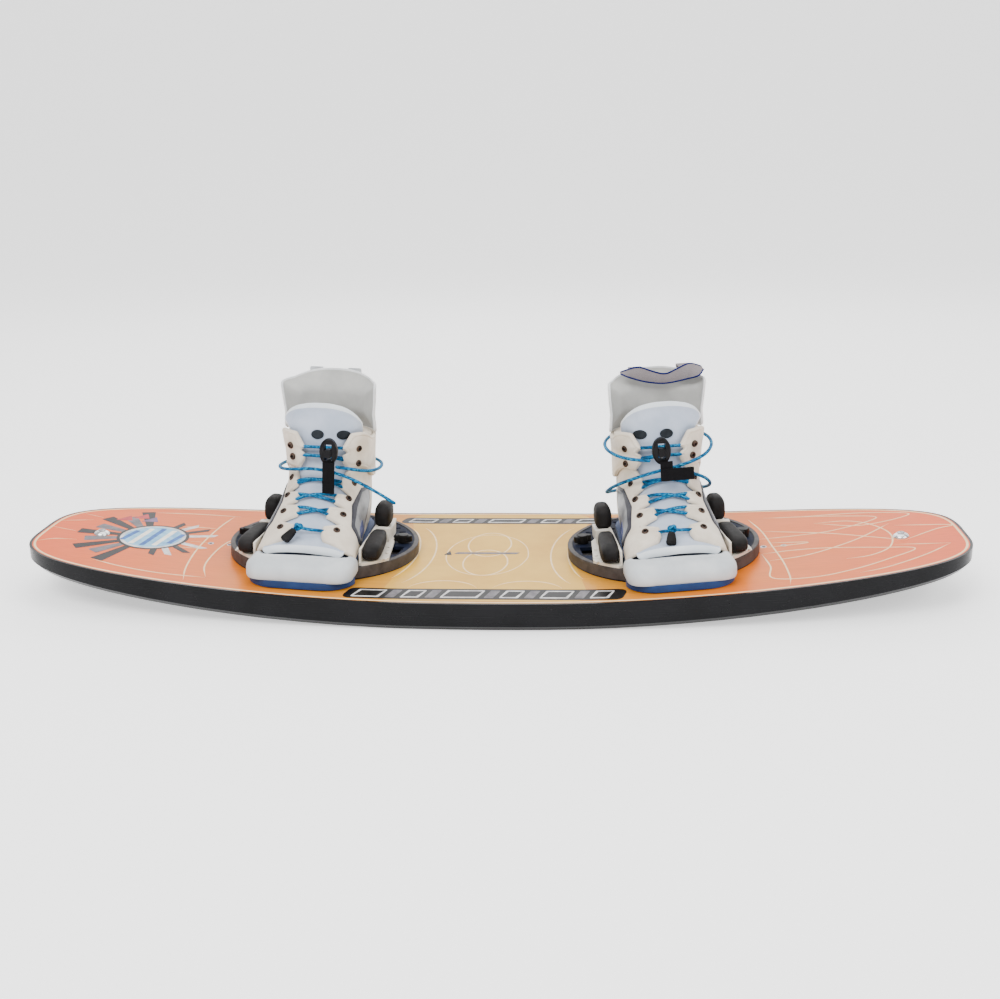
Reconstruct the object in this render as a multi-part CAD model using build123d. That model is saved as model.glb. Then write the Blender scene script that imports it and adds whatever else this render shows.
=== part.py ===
from build123d import *
import os
from math import atan2, cos, degrees, hypot, pi, radians, sin, tan

# Wakeboard with two lace-up boots on round binding plates.
#
# Millimetres. +X runs along the board, +Y towards the heel edge, +Z up. The origin is the middle of the
# flat stretch of the base, the lowest point of the board.

# ---------------------------------------------------------------- driving dimensions
BOARD_LENGTH = 1390
BOARD_WIDTH = 434
BASE_FLAT_HALF = 90          # the base is flat this far each side of the middle
ROCKER_HEIGHT = 55           # rise of the base at the tips
ROCKER_POWER = 1.85
MIDDLE_THICKNESS = 40
TIP_THICKNESS = 24
OUTLINE_LONG_POWER = 1.64    # the outline is a superellipse with its own power along each axis
OUTLINE_WIDE_POWER = 3.78
RAIL_BEVEL = 7
TOPSHEET_THICKNESS = 1.4
TOPSHEET_INSET = 4

STANCE_HALF = 255            # middle of the board to each binding's middle
PLATE_TOP = 64               # height of the binding plate's top face at its middle
FOOT_YAW = {"left": -2.5, "right": 7.5}
BOOT_LEAN = -0.05             # outward lean of the boot shaft, mm per mm of height

DISC_RADIUS = 142
DISC_HEIGHT = 17
PAN_FLOOR = 5                # thickness of the disc's floor under the deck plate
PLATE_RADIUS = 135
KNOB_RADIUS_PLACE = 119      # knob distance from the middle of its disc
KNOB_LENGTH, KNOB_WIDTH = 28, 12
KNOB_ROOM = KNOB_LENGTH / 2 + 0.8            # radius kept free round each knob's axis
STUD_RADIUS = 3.0
STUD_ROOM = STUD_RADIUS + 0.8
KNOB_TURN = {
    ("left", "outer"): 15,
    ("left", "inner"): -5,
    ("right", "inner"): 25,
    ("right", "outer"): 60,
}
KNOT_RADIUS = 6
INSERT_BORE = 3.05
INSERT_RADIUS = 5.0
INSERT_DEPTH = 12
INSERT_PITCH = 30

FIN_PLACE = 604
FIN_DEPTH = 30
FIN_BASE = 120
FIN_THICKNESS = 7
FIN_BOLT_RADIUS = 3.0
FIN_FLANGE = 4
WASHER_RADIUS = 12

SOLE_THICKNESS = 8
TOE_FRONT = -178
TOE_HALF_WIDTH = 77
HEEL_BACK = 118
GAP = 0.4                    # working gap between layers of the boot

# outer faces of the soft layers, out from the foot form
LINING = 8.0                 # tongue
VENT = 9.2                   # ovals on the tongue
UPPER = 14.4                 # overlays
BADGE = 15.9                 # plates on the overlays
STRAP = 20.4                 # cuff
FORM_POWER = 2.5             # superellipse power of the foot form's sections
LACE_RADIUS = 2.0
CORD_RADIUS = 2.3

LOCK_HEIGHT = 144            # middle of the cord lock above the plate
LOCK_FRONT = -35
LOCK_DEPTH = 13
LOCK_WIDE, LOCK_TALL = 27, 40
WINDOW_WIDE, WINDOW_LOW, WINDOW_HIGH = 11, -12, 12
BUTTON_LOW, BUTTON_HIGH, BUTTON_TRAVEL = -8, 4, 5
LOCK_X = {"left": 13, "right": 2}

# Knot, top and bottom of each lace-end tab, inner side +x.
END_TABS = {
    "left": ((-14, -104, 50), (-17, -111, 48), (-29, -128, 36)),
    "right": ((3, -104, 49), (5, -110, 46.5), (9, -127.5, 33.5)),
}
PULL_TAB_WIDTH = 18
PULL_TAB_TOP = (-38.2, 130)   # (y, z) of each pull tab's swing axis, just in front of the lock
STRAP_AXIS = (123.8, 240.6)   # (y, z) of each calf strap's swing axis, behind the panel's top edge
FLAP_FRONT = 89.5            # the right strap hangs down in front of the calf panel's inner face
FLAP_THICKNESS = 3.0

# Foot form: front point (y, z), back point (y, z) and half width of each cross-section, toe to calf.
FORM = [
    ((-150, 10), (-150, -6), 55),
    ((-128, 17), (-128, -6), 58),
    ((-95, 33), (-93, -6), 57),
    ((-58, 53), (-52, -6), 54),
    ((-28, 72), (-8, -6), 50),
    ((-10, 90), (40, -6), 48),
    ((0, 106), (88, 8), 47),
    ((4, 122), (103, 55), 47),
    ((7, 138), (104, 105), 48),
    ((9, 150), (102, 150), 51),
    ((16, 195), (100, 195), 57),
    ((22, 240), (99, 240), 60),
]

# Eyelet rows: station along the form, angle to the inner side and to the outer side of the instep line.
LOWER_ROWS = [(2.07, 31, 31), (2.92, 36, 36), (3.97, 42, 42), (5.40, 49, 43)]
UPPER_ROWS = [(7.00, 52, 34), (8.40, 52, 36)]

CALF_PAD = STRAP + 1.5                       # outer face of the calf panel's thick top
CALF_HALF_WIDTH = 79
CALF_CORNER = 26


# ---------------------------------------------------------------- small helpers
def block(x0, x1, y0, y1, z0, z1):
    """Box between two corners."""
    size = (x1 - x0, y1 - y0, z1 - z0)
    return Pos((x0 + x1) / 2, (y0 + y1) / 2, (z0 + z1) / 2) * Box(*size)


def rod(radius, z0, z1, x=0.0, y=0.0):
    """Upright cylinder."""
    return Pos(x, y, (z0 + z1) / 2) * Cylinder(radius, z1 - z0)


def plan_prism(points, z0, z1):
    """Polygon of (x, y) points between two heights."""
    face = make_face(Polyline(*[(x, y, z0) for x, y in points], close=True))
    return extrude(face, amount=z1 - z0, dir=(0, 0, 1))


def side_prism(points, x0, x1):
    """Polygon of (y, z) points between two x planes."""
    face = make_face(Polyline(*[(x0, y, z) for y, z in points], close=True))
    return extrude(face, amount=x1 - x0, dir=(1, 0, 0))


def front_prism(points, y0, y1):
    """Polygon of (x, z) points between two y planes."""
    face = make_face(Polyline(*[(x, y0, z) for x, z in points], close=True))
    return extrude(face, amount=y1 - y0, dir=(0, 1, 0))


def tube(points, radius, name):
    """Round tube along straight runs joined by arcs as large as the runs allow."""
    route = [Vector(*p) for p in points]
    radii = []
    for before, here, after in zip(route, route[1:], route[2:]):
        one, two = here - before, after - here
        turn = radians(one.get_angle(two))
        radii.append(0.45 * min(one.length, two.length) / tan(turn / 2))
    path = FilletPolyline(*route, radius=radii)
    start = Plane(origin=route[0], z_dir=route[1] - route[0])
    solid = sweep(start * Circle(radius), path=path)
    section_volume = pi * radius**2 * path.length
    print(name, "length", round(path.length, 1), "tightest radius", round(min(radii), 1),
          "volume over section x length", round(solid.volume / section_volume, 4))
    return solid


def along(line, radius, extra=0.0):
    """Cylinder round a line given by a point, a direction and the offsets of its two ends."""
    origin, direction, low, high = line
    plane = Plane(origin=Vector(*origin) + Vector(*direction) * low, z_dir=Vector(*direction))
    return extrude(plane * Circle(radius), amount=high - low + extra)


# ---------------------------------------------------------------- board
def outline_points(inset, count=9):
    """Closed outline of the board, walked all the way round."""
    a, b = BOARD_LENGTH / 2 - inset, BOARD_WIDTH / 2 - inset
    quarter = []
    for k in range(count):
        angle = pi / 2 * (k / count) ** 1.5
        x, y = a * cos(angle) ** (2 / OUTLINE_LONG_POWER), b * sin(angle) ** (2 / OUTLINE_WIDE_POWER)
        quarter.append((x, y))
    top = quarter + [(0.0, b)] + [(-x, y) for x, y in quarter[:0:-1]]
    bottom = [(-x, -y) for x, y in top]
    return top + bottom


def outline_face(inset):
    points = [(x, y, -20) for x, y in outline_points(inset)]
    return make_face(Spline(*points, periodic=True))


def base_height(x):
    """Height of the base at x."""
    run = max(0.0, abs(x) - BASE_FLAT_HALF) / (BOARD_LENGTH / 2 - BASE_FLAT_HALF)
    return ROCKER_HEIGHT * run**ROCKER_POWER


def deck_height(x):
    """Height of the deck at x."""
    share = abs(x) / (BOARD_LENGTH / 2)
    return base_height(x) + MIDDLE_THICKNESS - (MIDDLE_THICKNESS - TIP_THICKNESS) * share**3


def curve_points(height, low, high, count, drop=0.0):
    """Points of a height law between two x values."""
    steps = [low + (high - low) * k / count for k in range(count + 1)]
    return [(x, -BOARD_WIDTH, height(x) - drop) for x in steps]


def board_profile(drop_top, drop_bottom, bottom_is_deck):
    """Side profile of a layer of the board, extruded across it."""
    end = BOARD_LENGTH / 2 + 10
    top = Spline(*curve_points(deck_height, -end, end, 24, drop_top))
    if bottom_is_deck:
        low = Spline(*curve_points(deck_height, -end, end, 24, drop_bottom))
        edges = [low]
    else:
        flat = BASE_FLAT_HALF
        left = Spline(*curve_points(base_height, -end, -flat, 8), tangents=[(1, 0, -0.17), (1, 0, 0)])
        middle = Line((-flat, -BOARD_WIDTH, 0), (flat, -BOARD_WIDTH, 0))
        right = Spline(*curve_points(base_height, flat, end, 8), tangents=[(1, 0, 0), (1, 0, 0.17)])
        edges = [left, middle, right]
    lows, highs = edges[0] @ 0, edges[-1] @ 1
    ends = [Line(lows, top @ 0), Line(highs, top @ 1)]
    face = make_face(edges + [top] + ends)
    return extrude(face, amount=2 * BOARD_WIDTH, dir=(0, 1, 0))


def insert_places():
    """Distances of the threaded inserts from the middle of the board, on one half."""
    inner, outer = STANCE_HALF - KNOB_RADIUS_PLACE, STANCE_HALF + KNOB_RADIUS_PLACE
    return [inner - INSERT_PITCH, inner, inner + INSERT_PITCH,
            outer - INSERT_PITCH, outer, outer + INSERT_PITCH, outer + 2 * INSERT_PITCH]


def board_solids():
    """Hull with its black rail, and the thin graphic sheet set into its top."""
    outline = extrude(outline_face(0), amount=140, dir=(0, 0, 1))
    full = outline & board_profile(0, 0, False)
    edges = [e for e in full.edges() if is_bottom_rim(e)]
    full = chamfer(edges, RAIL_BEVEL)
    inner = extrude(outline_face(TOPSHEET_INSET), amount=140, dir=(0, 0, 1))
    sheet = inner & board_profile(0, TOPSHEET_THICKNESS, True)
    hull = full - sheet
    return full, hull, sheet


def is_bottom_rim(edge):
    """True for the edges between the rail wall and the base."""
    middle = edge @ 0.5
    on_base = abs(middle.Z - base_height(middle.X)) < 1.5
    away = abs(middle.Y) > 20 or abs(middle.X) > BOARD_LENGTH / 2 - 20
    return on_base and away and edge.length > 1


def deck_slope():
    """Slope of the deck, in degrees, at a binding's middle."""
    step = 1.0
    rise = deck_height(STANCE_HALF + step) - deck_height(STANCE_HALF - step)
    return degrees(atan2(rise, 2 * step))


# ---------------------------------------------------------------- the foot form
def form_section(station):
    """Front point, unit vector from back to front, half depth and half width at a station."""
    k = min(int(station), len(FORM) - 2)
    share = station - k
    values = []
    for one, two in zip(flatten(FORM[k]), flatten(FORM[k + 1])):
        values.append(one + (two - one) * share)
    front_y, front_z, back_y, back_z, half_width = values
    depth = hypot(front_y - back_y, front_z - back_z)
    middle = ((front_y + back_y) / 2, (front_z + back_z) / 2)
    unit = ((front_y - back_y) / depth, (front_z - back_z) / depth)
    return middle, unit, depth / 2, half_width


def flatten(row):
    return [*row[0], *row[1], row[2]]


def signed_power(value):
    size = abs(value) ** (2 / FORM_POWER)
    return size if value >= 0 else -size


def form_point(station, angle, offset):
    """Point of the foot form grown by an offset. Angle 0 is the instep line, 90 the inner side."""
    middle, unit, half_depth, half_width = form_section(station)
    forward = (half_depth + offset) * signed_power(cos(radians(angle)))
    y, z = middle[0] + forward * unit[0], middle[1] + forward * unit[1]
    x = (half_width + offset) * signed_power(sin(radians(angle)))
    return Vector(x + BOOT_LEAN * z, y, z)


def form_normal(station, angle, offset):
    """Outward unit normal of the foot form."""
    here = form_point(station, angle, offset)
    along_form = form_point(station + 0.1, angle, offset) - here
    around = form_point(station, angle + 2, offset) - here
    normal = around.cross(along_form).normalized()
    outward = form_point(station, angle, offset + 5) - here
    return normal if normal.dot(outward) > 0 else normal * -1


def boot_form(offset):
    """Solid of the foot form grown by an offset, ruled between its sections and flat under the foot."""
    rings = []
    for station in range(len(FORM)):
        points = [form_point(station, angle, offset) for angle in range(0, 360, 30)]
        rings.append(Wire([Edge.make_spline(points, periodic=True)]))
    solid = Solid.make_loft(rings, True)
    return solid & block(-150, 150, -200, 200, SOLE_THICKNESS + GAP, 300)


# ---------------------------------------------------------------- binding plate
def disc_rim():
    """Round pan that the deck plate drops into."""
    pan = rod(DISC_RADIUS, -DISC_HEIGHT, 0)
    pan = fillet(pan.edges().group_by(Axis.Z)[-1], 1.5)
    pan -= rod(PLATE_RADIUS + 0.3, PAN_FLOOR - DISC_HEIGHT, 5)
    for side in (-1, 1):
        pan -= rod(STUD_ROOM, -30, 5, side * KNOB_RADIUS_PLACE)
    return pan


def disc_plate():
    """Deck plate with its two rings of openings and a pocket beside each knob."""
    plate = rod(PLATE_RADIUS, PAN_FLOOR - DISC_HEIGHT, -1)
    plate -= rod(PLATE_RADIUS - 8, PAN_FLOOR - DISC_HEIGHT - 1, -6)
    for side in (-1, 1):
        plate += rod(11, PAN_FLOOR - DISC_HEIGHT, -3, side * KNOB_RADIUS_PLACE)
        plate -= rod(STUD_ROOM, -30, 5, side * KNOB_RADIUS_PLACE)
    for k in range(36):
        angle = 10 * k + 5
        if min(angle % 180, 180 - angle % 180) < 8:
            continue
        slot = Rot(0, 0, angle) * Pos(122, 0, -3) * extrude(SlotOverall(11, 5), amount=6, both=True)
        plate -= slot
    for k in range(30):
        angle = 12 * k + 6
        if min(angle % 180, 180 - angle % 180) < 14:
            continue
        plate -= Rot(0, 0, angle) * Pos(99, 0, -3) * Cylinder(3.2, 12)
    for side in (-1, 1):
        pocket = plan_prism([(98, -20), (124, -20), (118, -56), (104, -60), (96, -44)], -8, 2)
        plate -= pocket if side > 0 else mirror(pocket, about=Plane.YZ)
    return plate


def knob():
    """Wing of a clamp knob on its own axis, with a foot that reaches down into the plate."""
    lobe = Pos(0, 0, 2.5) * extrude(SlotOverall(KNOB_LENGTH, KNOB_WIDTH), amount=9)
    lobe = fillet(lobe.edges().group_by(Axis.Z)[-1], 2)
    foot = rod(8.5, GAP, 5)
    cap = rod(8.5, 5, 12.5)
    cap = fillet(cap.edges().group_by(Axis.Z)[-1], 1.2)
    return lobe + foot + cap - rod(STUD_RADIUS, -5, 9)


def knob_stud():
    return rod(STUD_RADIUS, -28, 8.5)


# ---------------------------------------------------------------- boot
def toe_outline():
    return Pos(0, TOE_FRONT + 60) * RectangleRounded(2 * TOE_HALF_WIDTH, 120, 44)


def footbed():
    """Blue sole, with a lip in front of the plate that comes down to the deck."""
    heel_radius = 62
    body = plan_prism([(-72, -118), (72, -118), (heel_radius, HEEL_BACK - heel_radius),
                       (-heel_radius, HEEL_BACK - heel_radius)], GAP, SOLE_THICKNESS)
    body += rod(heel_radius, GAP, SOLE_THICKNESS, 0, HEEL_BACK - heel_radius)
    toe = Pos(0, TOE_FRONT + 69) * RectangleRounded(124, 102, 34)
    body += Pos(0, 0, GAP) * extrude(toe, amount=SOLE_THICKNESS - GAP)
    lip = Pos(0, 0, -DISC_HEIGHT - 1) * extrude(toe_outline(), amount=10)
    lip += Pos(0, 0, -8.5) * extrude(toe, amount=12)
    lip -= rod(DISC_RADIUS + 1, -40, GAP)
    lip -= block(-100, 100, -140, 200, -40, 40)
    return body + lip


def toe_cap(sole, form_over_lining):
    """Padded bumper round the toes, hollow behind."""
    cap = Pos(0, 0, -8) * extrude(toe_outline(), amount=32)
    cap = fillet(cap.edges().group_by(Axis.Z)[-1], 15)
    cap = fillet(cap.edges().group_by(Axis.Z)[0], 3)
    cap -= block(-100, 100, -117.5, 100, -40, 60)
    cap -= rod(DISC_RADIUS + 1, -40, GAP)
    cap -= sole
    cap -= block(-54, 54, -160, -100, SOLE_THICKNESS - 1, 15)
    cap -= block(-60, 60, -129, -100, SOLE_THICKNESS - 1, 40)
    cap -= form_over_lining & block(-100, 100, -129, 0, 0, 60)
    return max(cap.solids(), key=lambda s: s.volume)


def tongue(forms):
    """Padded tongue from the toes over the instep to the shin."""
    strip = forms[LINING] - forms[0]
    outline = [(-54, 8), (-54, 24), (-46, 60), (-46, 120), (-55, 160), (-64, 180),
               (-52, 196), (-30, 204), (0, 206), (18, 203), (38, 194), (48, 178),
               (46, 160), (44, 120), (44, 60), (54, 24), (54, 8)]
    strip &= front_prism(outline, -128, 43.6)
    strip -= block(-100, 100, -10, 60, -10, 60)
    return max(strip.solids(), key=lambda s: s.volume)


def overlay(forms, side):
    """Lower side panel of the upper, from the sole to the lace edge."""
    layer = forms[UPPER] - forms[LINING + GAP]
    outline = [(-117, 8), (-117, 42), (-30, 104), (-8, 118), (20, 122), (44, 112), (44, 8)]
    layer &= side_prism(outline, -100, 100)
    edge = 24
    if side > 0:
        layer &= block(edge, 100, -150, 60, 0, 130)
    else:
        layer &= block(-100, -edge - 2, -150, 60, 0, 130)
    return max(layer.solids(), key=lambda s: s.volume)


def cuff(forms):
    """Ankle cuff, open in front for the laces."""
    layer = forms[STRAP] - forms[UPPER + GAP]
    outline = [(-40, 112), (-40, 166), (22, 166), (36, 152), (140, 152), (140, 84), (60, 84), (20, 112)]
    layer &= side_prism(outline, -120, 120)
    layer -= block(-38, 26, -60, 50, 60, 200)
    return max(layer.solids(), key=lambda s: s.volume)


def back_panel(forms):
    """Heel cup that rises into a tall padded calf panel."""
    shell = forms[UPPER] - forms[0]
    shell &= side_prism([(44.4, 8), (44.4, 100), (62, 160), (66, 238), (160, 238), (160, 8)], -120, 120)
    pad = forms[CALF_PAD] - forms[UPPER - 1]
    pad &= side_prism([(66, 156), (66, 238), (160, 238), (160, 156)], -120, 120)
    shell += pad
    front_view = Plane.XZ * RectangleRounded(2 * CALF_HALF_WIDTH, 200, CALF_CORNER)
    top = Pos(BOOT_LEAN * 190, 0, 138) * extrude(front_view, amount=200, both=True)
    panel = shell & (top + block(-150, 150, -100, 200, 0, 160))
    return max(panel.solids(), key=lambda s: s.volume)


def side_frame():
    """Chassis flange on the inner side, with the wall and saddles that carry the bumpers."""
    flange = plan_prism([(76.2, -114), (103, -119), (117, -112), (106, 6), (98, 22), (92, 60),
                         (88, 112), (76.2, 112)], 0, 4)
    wall = block(76.2, 79.4, -112, 110, 0, 24)
    saddle = block(79, 100, -10, 1, 0, 24)
    shelf = block(79, 99, 1, 50, 0, 17.4)
    frame = flange + wall + saddle + shelf
    return frame & rod(DISC_RADIUS - 1, -5, 60)


def front_bumper():
    pad = block(80, 102, -113, -14, 4.4, 29)
    return fillet(pad.edges(), 10)


def rear_bumper():
    pad = block(80, 102, 2, 50, 17.8, 56)
    return fillet(pad.edges(), 10)


def rivet(x, y):
    return fillet(rod(2.4, 4, 5.6, x, y).edges().group_by(Axis.Z)[-1], 0.9)


RIVET_PLACES = [(110.5, -92), (108, -64), (105.5, -36)]


def mirrored(solid):
    return mirror(solid, about=Plane.YZ)


def eyelet_lines():
    """Axis of each eyelet with the offsets of its two ends, inner side first."""
    lines = []
    for rows, low, high in ((LOWER_ROWS, LINING + GAP, UPPER), (UPPER_ROWS, UPPER + GAP, STRAP)):
        for station, inner, outer in rows:
            for angle in (inner, -outer):
                normal = form_normal(station, angle, high)
                foot = form_point(station, angle, high)
                lines.append((foot, normal, low - high + 0.4, 1.6))
    return lines


def eyelet(line):
    return along(line, 5.0) - along(line, 2.7, 5)


def lace_row(station, inner, outer, outer_face):
    """Lace over the tongue from one eyelet to the other."""
    steps = [(1.0, 4.6), (0.6, 4.2), (0.2, 3.0), (-0.2, 3.2), (-0.6, 4.2), (-1.0, 4.6)]
    points = []
    for share, lift in steps:
        angle = share * (inner if share > 0 else outer)
        points.append(form_point(station, angle, outer_face + lift))
    return tube(points, LACE_RADIUS, f"lace row {station}")


def lock_body():
    egg = extrude(Plane.XZ * Ellipse(LOCK_WIDE / 2, LOCK_TALL / 2), amount=LOCK_DEPTH / 2, both=True)
    egg = fillet(egg.edges(), 3.5)
    half = WINDOW_WIDE / 2
    return egg - block(-half, half, -20, 20, WINDOW_LOW, WINDOW_HIGH)


def lock_button():
    half = WINDOW_WIDE / 2 - 0.4
    button = block(-half, half, -LOCK_DEPTH / 2 - 1, LOCK_DEPTH / 2 - 2, BUTTON_LOW, BUTTON_HIGH)
    return fillet(button.edges().filter_by(Axis.Y), 2.5)


def lock_spring():
    """Return spring in the bottom of the window, under the button."""
    coil = Helix(pitch=1.1, height=2.8, radius=2.6)
    wire_start = Plane(origin=coil @ 0, z_dir=coil % 0)
    spring = sweep(wire_start * Circle(0.35), path=coil, is_frenet=True)
    return Pos(0, 0, WINDOW_LOW + 0.5) * spring


def end_tab(top, bottom):
    """Rubber tab on the lace ends, from the knot downwards."""
    top, bottom = Vector(*top), Vector(*bottom)
    plane = Plane(origin=top, x_dir=(1, 0, 0), z_dir=bottom - top)
    tab = extrude(plane * RectangleRounded(14, 8, 3), amount=(bottom - top).length)
    lengthwise = Axis((0, 0, 0), tuple(bottom - top))
    return chamfer(tab.edges().group_by(lengthwise)[-1], 1.5)


def pull_tab(side):
    """Webbing tab under the cord lock: hanging on the left boot, folded outwards on the right."""
    y, z = PULL_TAB_TOP
    x = LOCK_X[side]
    half = PULL_TAB_WIDTH / 2
    if side == "left":
        profile = [(y, z), (y - 2, z), (y - 5.5, 84), (y - 3.7, 84)]
        return side_prism(profile, x + 2 - half, x + 2 + half)
    drop = side_prism([(y, z), (y - 2, z), (y - 4, 102), (y - 2, 102)], x - 5 - half, x - 5 + half)
    left, right = x - 5 - half, x - 5 + half
    arm = side_prism([(y - 3.4, 120), (y - 5.4, 120), (y - 6.4, 102), (y - 4.4, 102)], x - 44, right)
    bridge = side_prism([(y - 1, 120), (y - 4, 120), (y - 5, 102), (y - 3, 102)], left, right)
    return drop + arm + bridge


def pull_strap(side):
    """Webbing loop at the top of the calf panel: hanging behind it, or thrown over it to the front."""
    y, z = STRAP_AXIS
    if side == "left":
        return front_prism([(-62, z - 3), (-40, z), (-12, z - 12), (16, z), (38, z - 3), (28, z - 17),
                            (-12, z - 34), (-52, z - 17)], y - 1.2, y + 1.2)
    outline = [(41, 239.2), (10, 246.5), (-28, 231), (-64, 246.5), (-84, 239.2), (-48, 239.2),
               (-43, 226), (-28, 219), (-10, 219), (14, 226), (22, 239.2)]
    front, back = FLAP_FRONT, FLAP_FRONT + FLAP_THICKNESS
    flap = front_prism(outline, front, back)
    inner_band = block(4, 24, back - 0.1, y + 1, z - 1.4, z + 1.2)
    outer_band = block(-70, -50, back - 0.1, y + 1, z - 1.4, z + 1.2)
    return flap + inner_band + outer_band


def badges(forms):
    """Leaf-shaped plate on each overlay, inner one first."""
    leaf = [(-74, 22), (-62, 42), (-20, 56), (20, 66), (42, 64), (42, 50), (0, 32), (-50, 13)]
    blanks = [forms[BADGE] & side_prism(leaf, 30, 100), forms[BADGE] & side_prism(leaf, -100, -30)]
    plates = [blank - forms[UPPER] for blank in blanks]
    return [max(plate.solids(), key=lambda s: s.volume) for plate in plates]


def tongue_vents(forms):
    vents = []
    for x in (-12, 27):
        oval = Pos(x, -10, 161) * extrude(Plane.XZ * Ellipse(10, 7), amount=35, both=True)
        vent = (forms[VENT] & oval) - forms[LINING]
        vents.append(max(vent.solids(), key=lambda s: s.volume))
    return vents


# ---------------------------------------------------------------- cords on the boots
# Routes in each boot's own frame, inner side +x.
WRAP_ROUTES = {
    # from the cord lock round the ankle, back across the front and out past the inner side
    "left": [(22, -27, 121), (42, -20, 117), (62, -2, 110), (73, 28, 105), (75, 62, 103),
             (65, 98, 101), (42, 124, 100), (8, 138, 99), (-33, 135, 98), (-64, 113, 97),
             (-82, 76, 97), (-82, 38, 100), (-67, 4, 105), (-42, -21, 112), (-12, -31, 118),
             (20, -31, 114), (48, -28, 104), (74, -26, 91), (96, -26, 79), (113, -26, 69)],
    # a loop round the cuff and a second one low round the heel, both ends in the cord lock
    "right": [(18, -28, 130), (40, -22, 131), (62, 0, 133), (74, 32, 136), (73, 68, 139),
              (58, 104, 141), (30, 129, 142), (-6, 135, 142), (-43, 130, 141), (-72, 105, 140),
              (-86, 67, 138), (-85, 30, 134), (-70, -4, 129), (-46, -24, 124), (-18, -31, 119),
              (14, -30, 113), (37, -22, 105), (57, -4, 94), (70, 24, 80), (74, 54, 66),
              (70, 84, 56), (54, 112, 50), (28, 131, 47), (-6, 136, 46), (-40, 128, 47),
              (-64, 105, 50), (-76, 74, 55), (-81, 42, 66), (-77, 13, 80), (-63, -10, 95),
              (-39, -27, 108), (-14, -31, 120)],
}


# ---------------------------------------------------------------- placing and writing
def disc_frame(side):
    sign = -1 if side == "left" else 1
    return Pos(sign * STANCE_HALF, 0, PLATE_TOP) * Rot(0, -sign * deck_slope(), 0)


def boot_frame(side):
    return disc_frame(side) * Rot(0, 0, FOOT_YAW[side])


def placed(solid, side):
    """Put a boot solid, made with its inner side at +x, on its binding."""
    hand = solid if side == "left" else mirrored(solid)
    return boot_frame(side) * hand


def fin_frame(sign):
    step = 1.0
    rise = deck_height(FIN_PLACE + step) - deck_height(FIN_PLACE - step)
    tilt = degrees(atan2(rise, 2 * step))
    return Pos(sign * FIN_PLACE, 0, deck_height(FIN_PLACE)) * Rot(0, -sign * tilt, 0)


def fin(full):
    """Centre fin at the +x end: a foot flange that follows the base, and a swept blade."""
    root = base_height(FIN_PLACE)
    low = root - FIN_DEPTH
    half = FIN_BASE / 2
    edge = Spline((FIN_PLACE - half, -10, root + 6), (FIN_PLACE - 30, -10, low + 6),
                  (FIN_PLACE + 10, -10, low), (FIN_PLACE + 45, -10, low + 12),
                  (FIN_PLACE + half, -10, root + 6))
    face = make_face([edge, Line(edge @ 1, edge @ 0)])
    blade = extrude(face, amount=20, dir=(0, 1, 0))
    blade &= block(0, 800, -FIN_THICKNESS / 2, FIN_THICKNESS / 2, -10, 90)
    flange = Pos(FIN_PLACE, 0, 0) * extrude(SlotOverall(FIN_BASE, 18), amount=100)
    flange &= Pos(0, 0, -FIN_FLANGE) * full
    solid = blade + flange - full
    return max(solid.solids(), key=lambda s: s.volume) - fin_frame(1) * rod(FIN_BOLT_RADIUS, -60, 20)


def fin_bolt():
    """Bolt on the deck normal, with a domed head and a driver recess."""
    head = fillet(rod(5.5, 4, 7).edges().group_by(Axis.Z)[-1], 1.5)
    recess = block(-3.5, 3.5, -0.6, 0.6, 5.8, 8) + block(-0.6, 0.6, -3.5, 3.5, 5.8, 8)
    return rod(FIN_BOLT_RADIUS, -44, 4) + head - recess


def fin_washer():
    washer = rod(WASHER_RADIUS, -2, 4)
    washer = chamfer(washer.edges().group_by(Axis.Z)[-1], 2.5, 4.5)
    return washer - rod(FIN_BOLT_RADIUS, -10, 10)


def write(name, *solids):
    shape = solids[0] if len(solids) == 1 else Compound(children=list(solids))
    export_step(shape, os.path.join("parts", name + ".step"))


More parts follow.
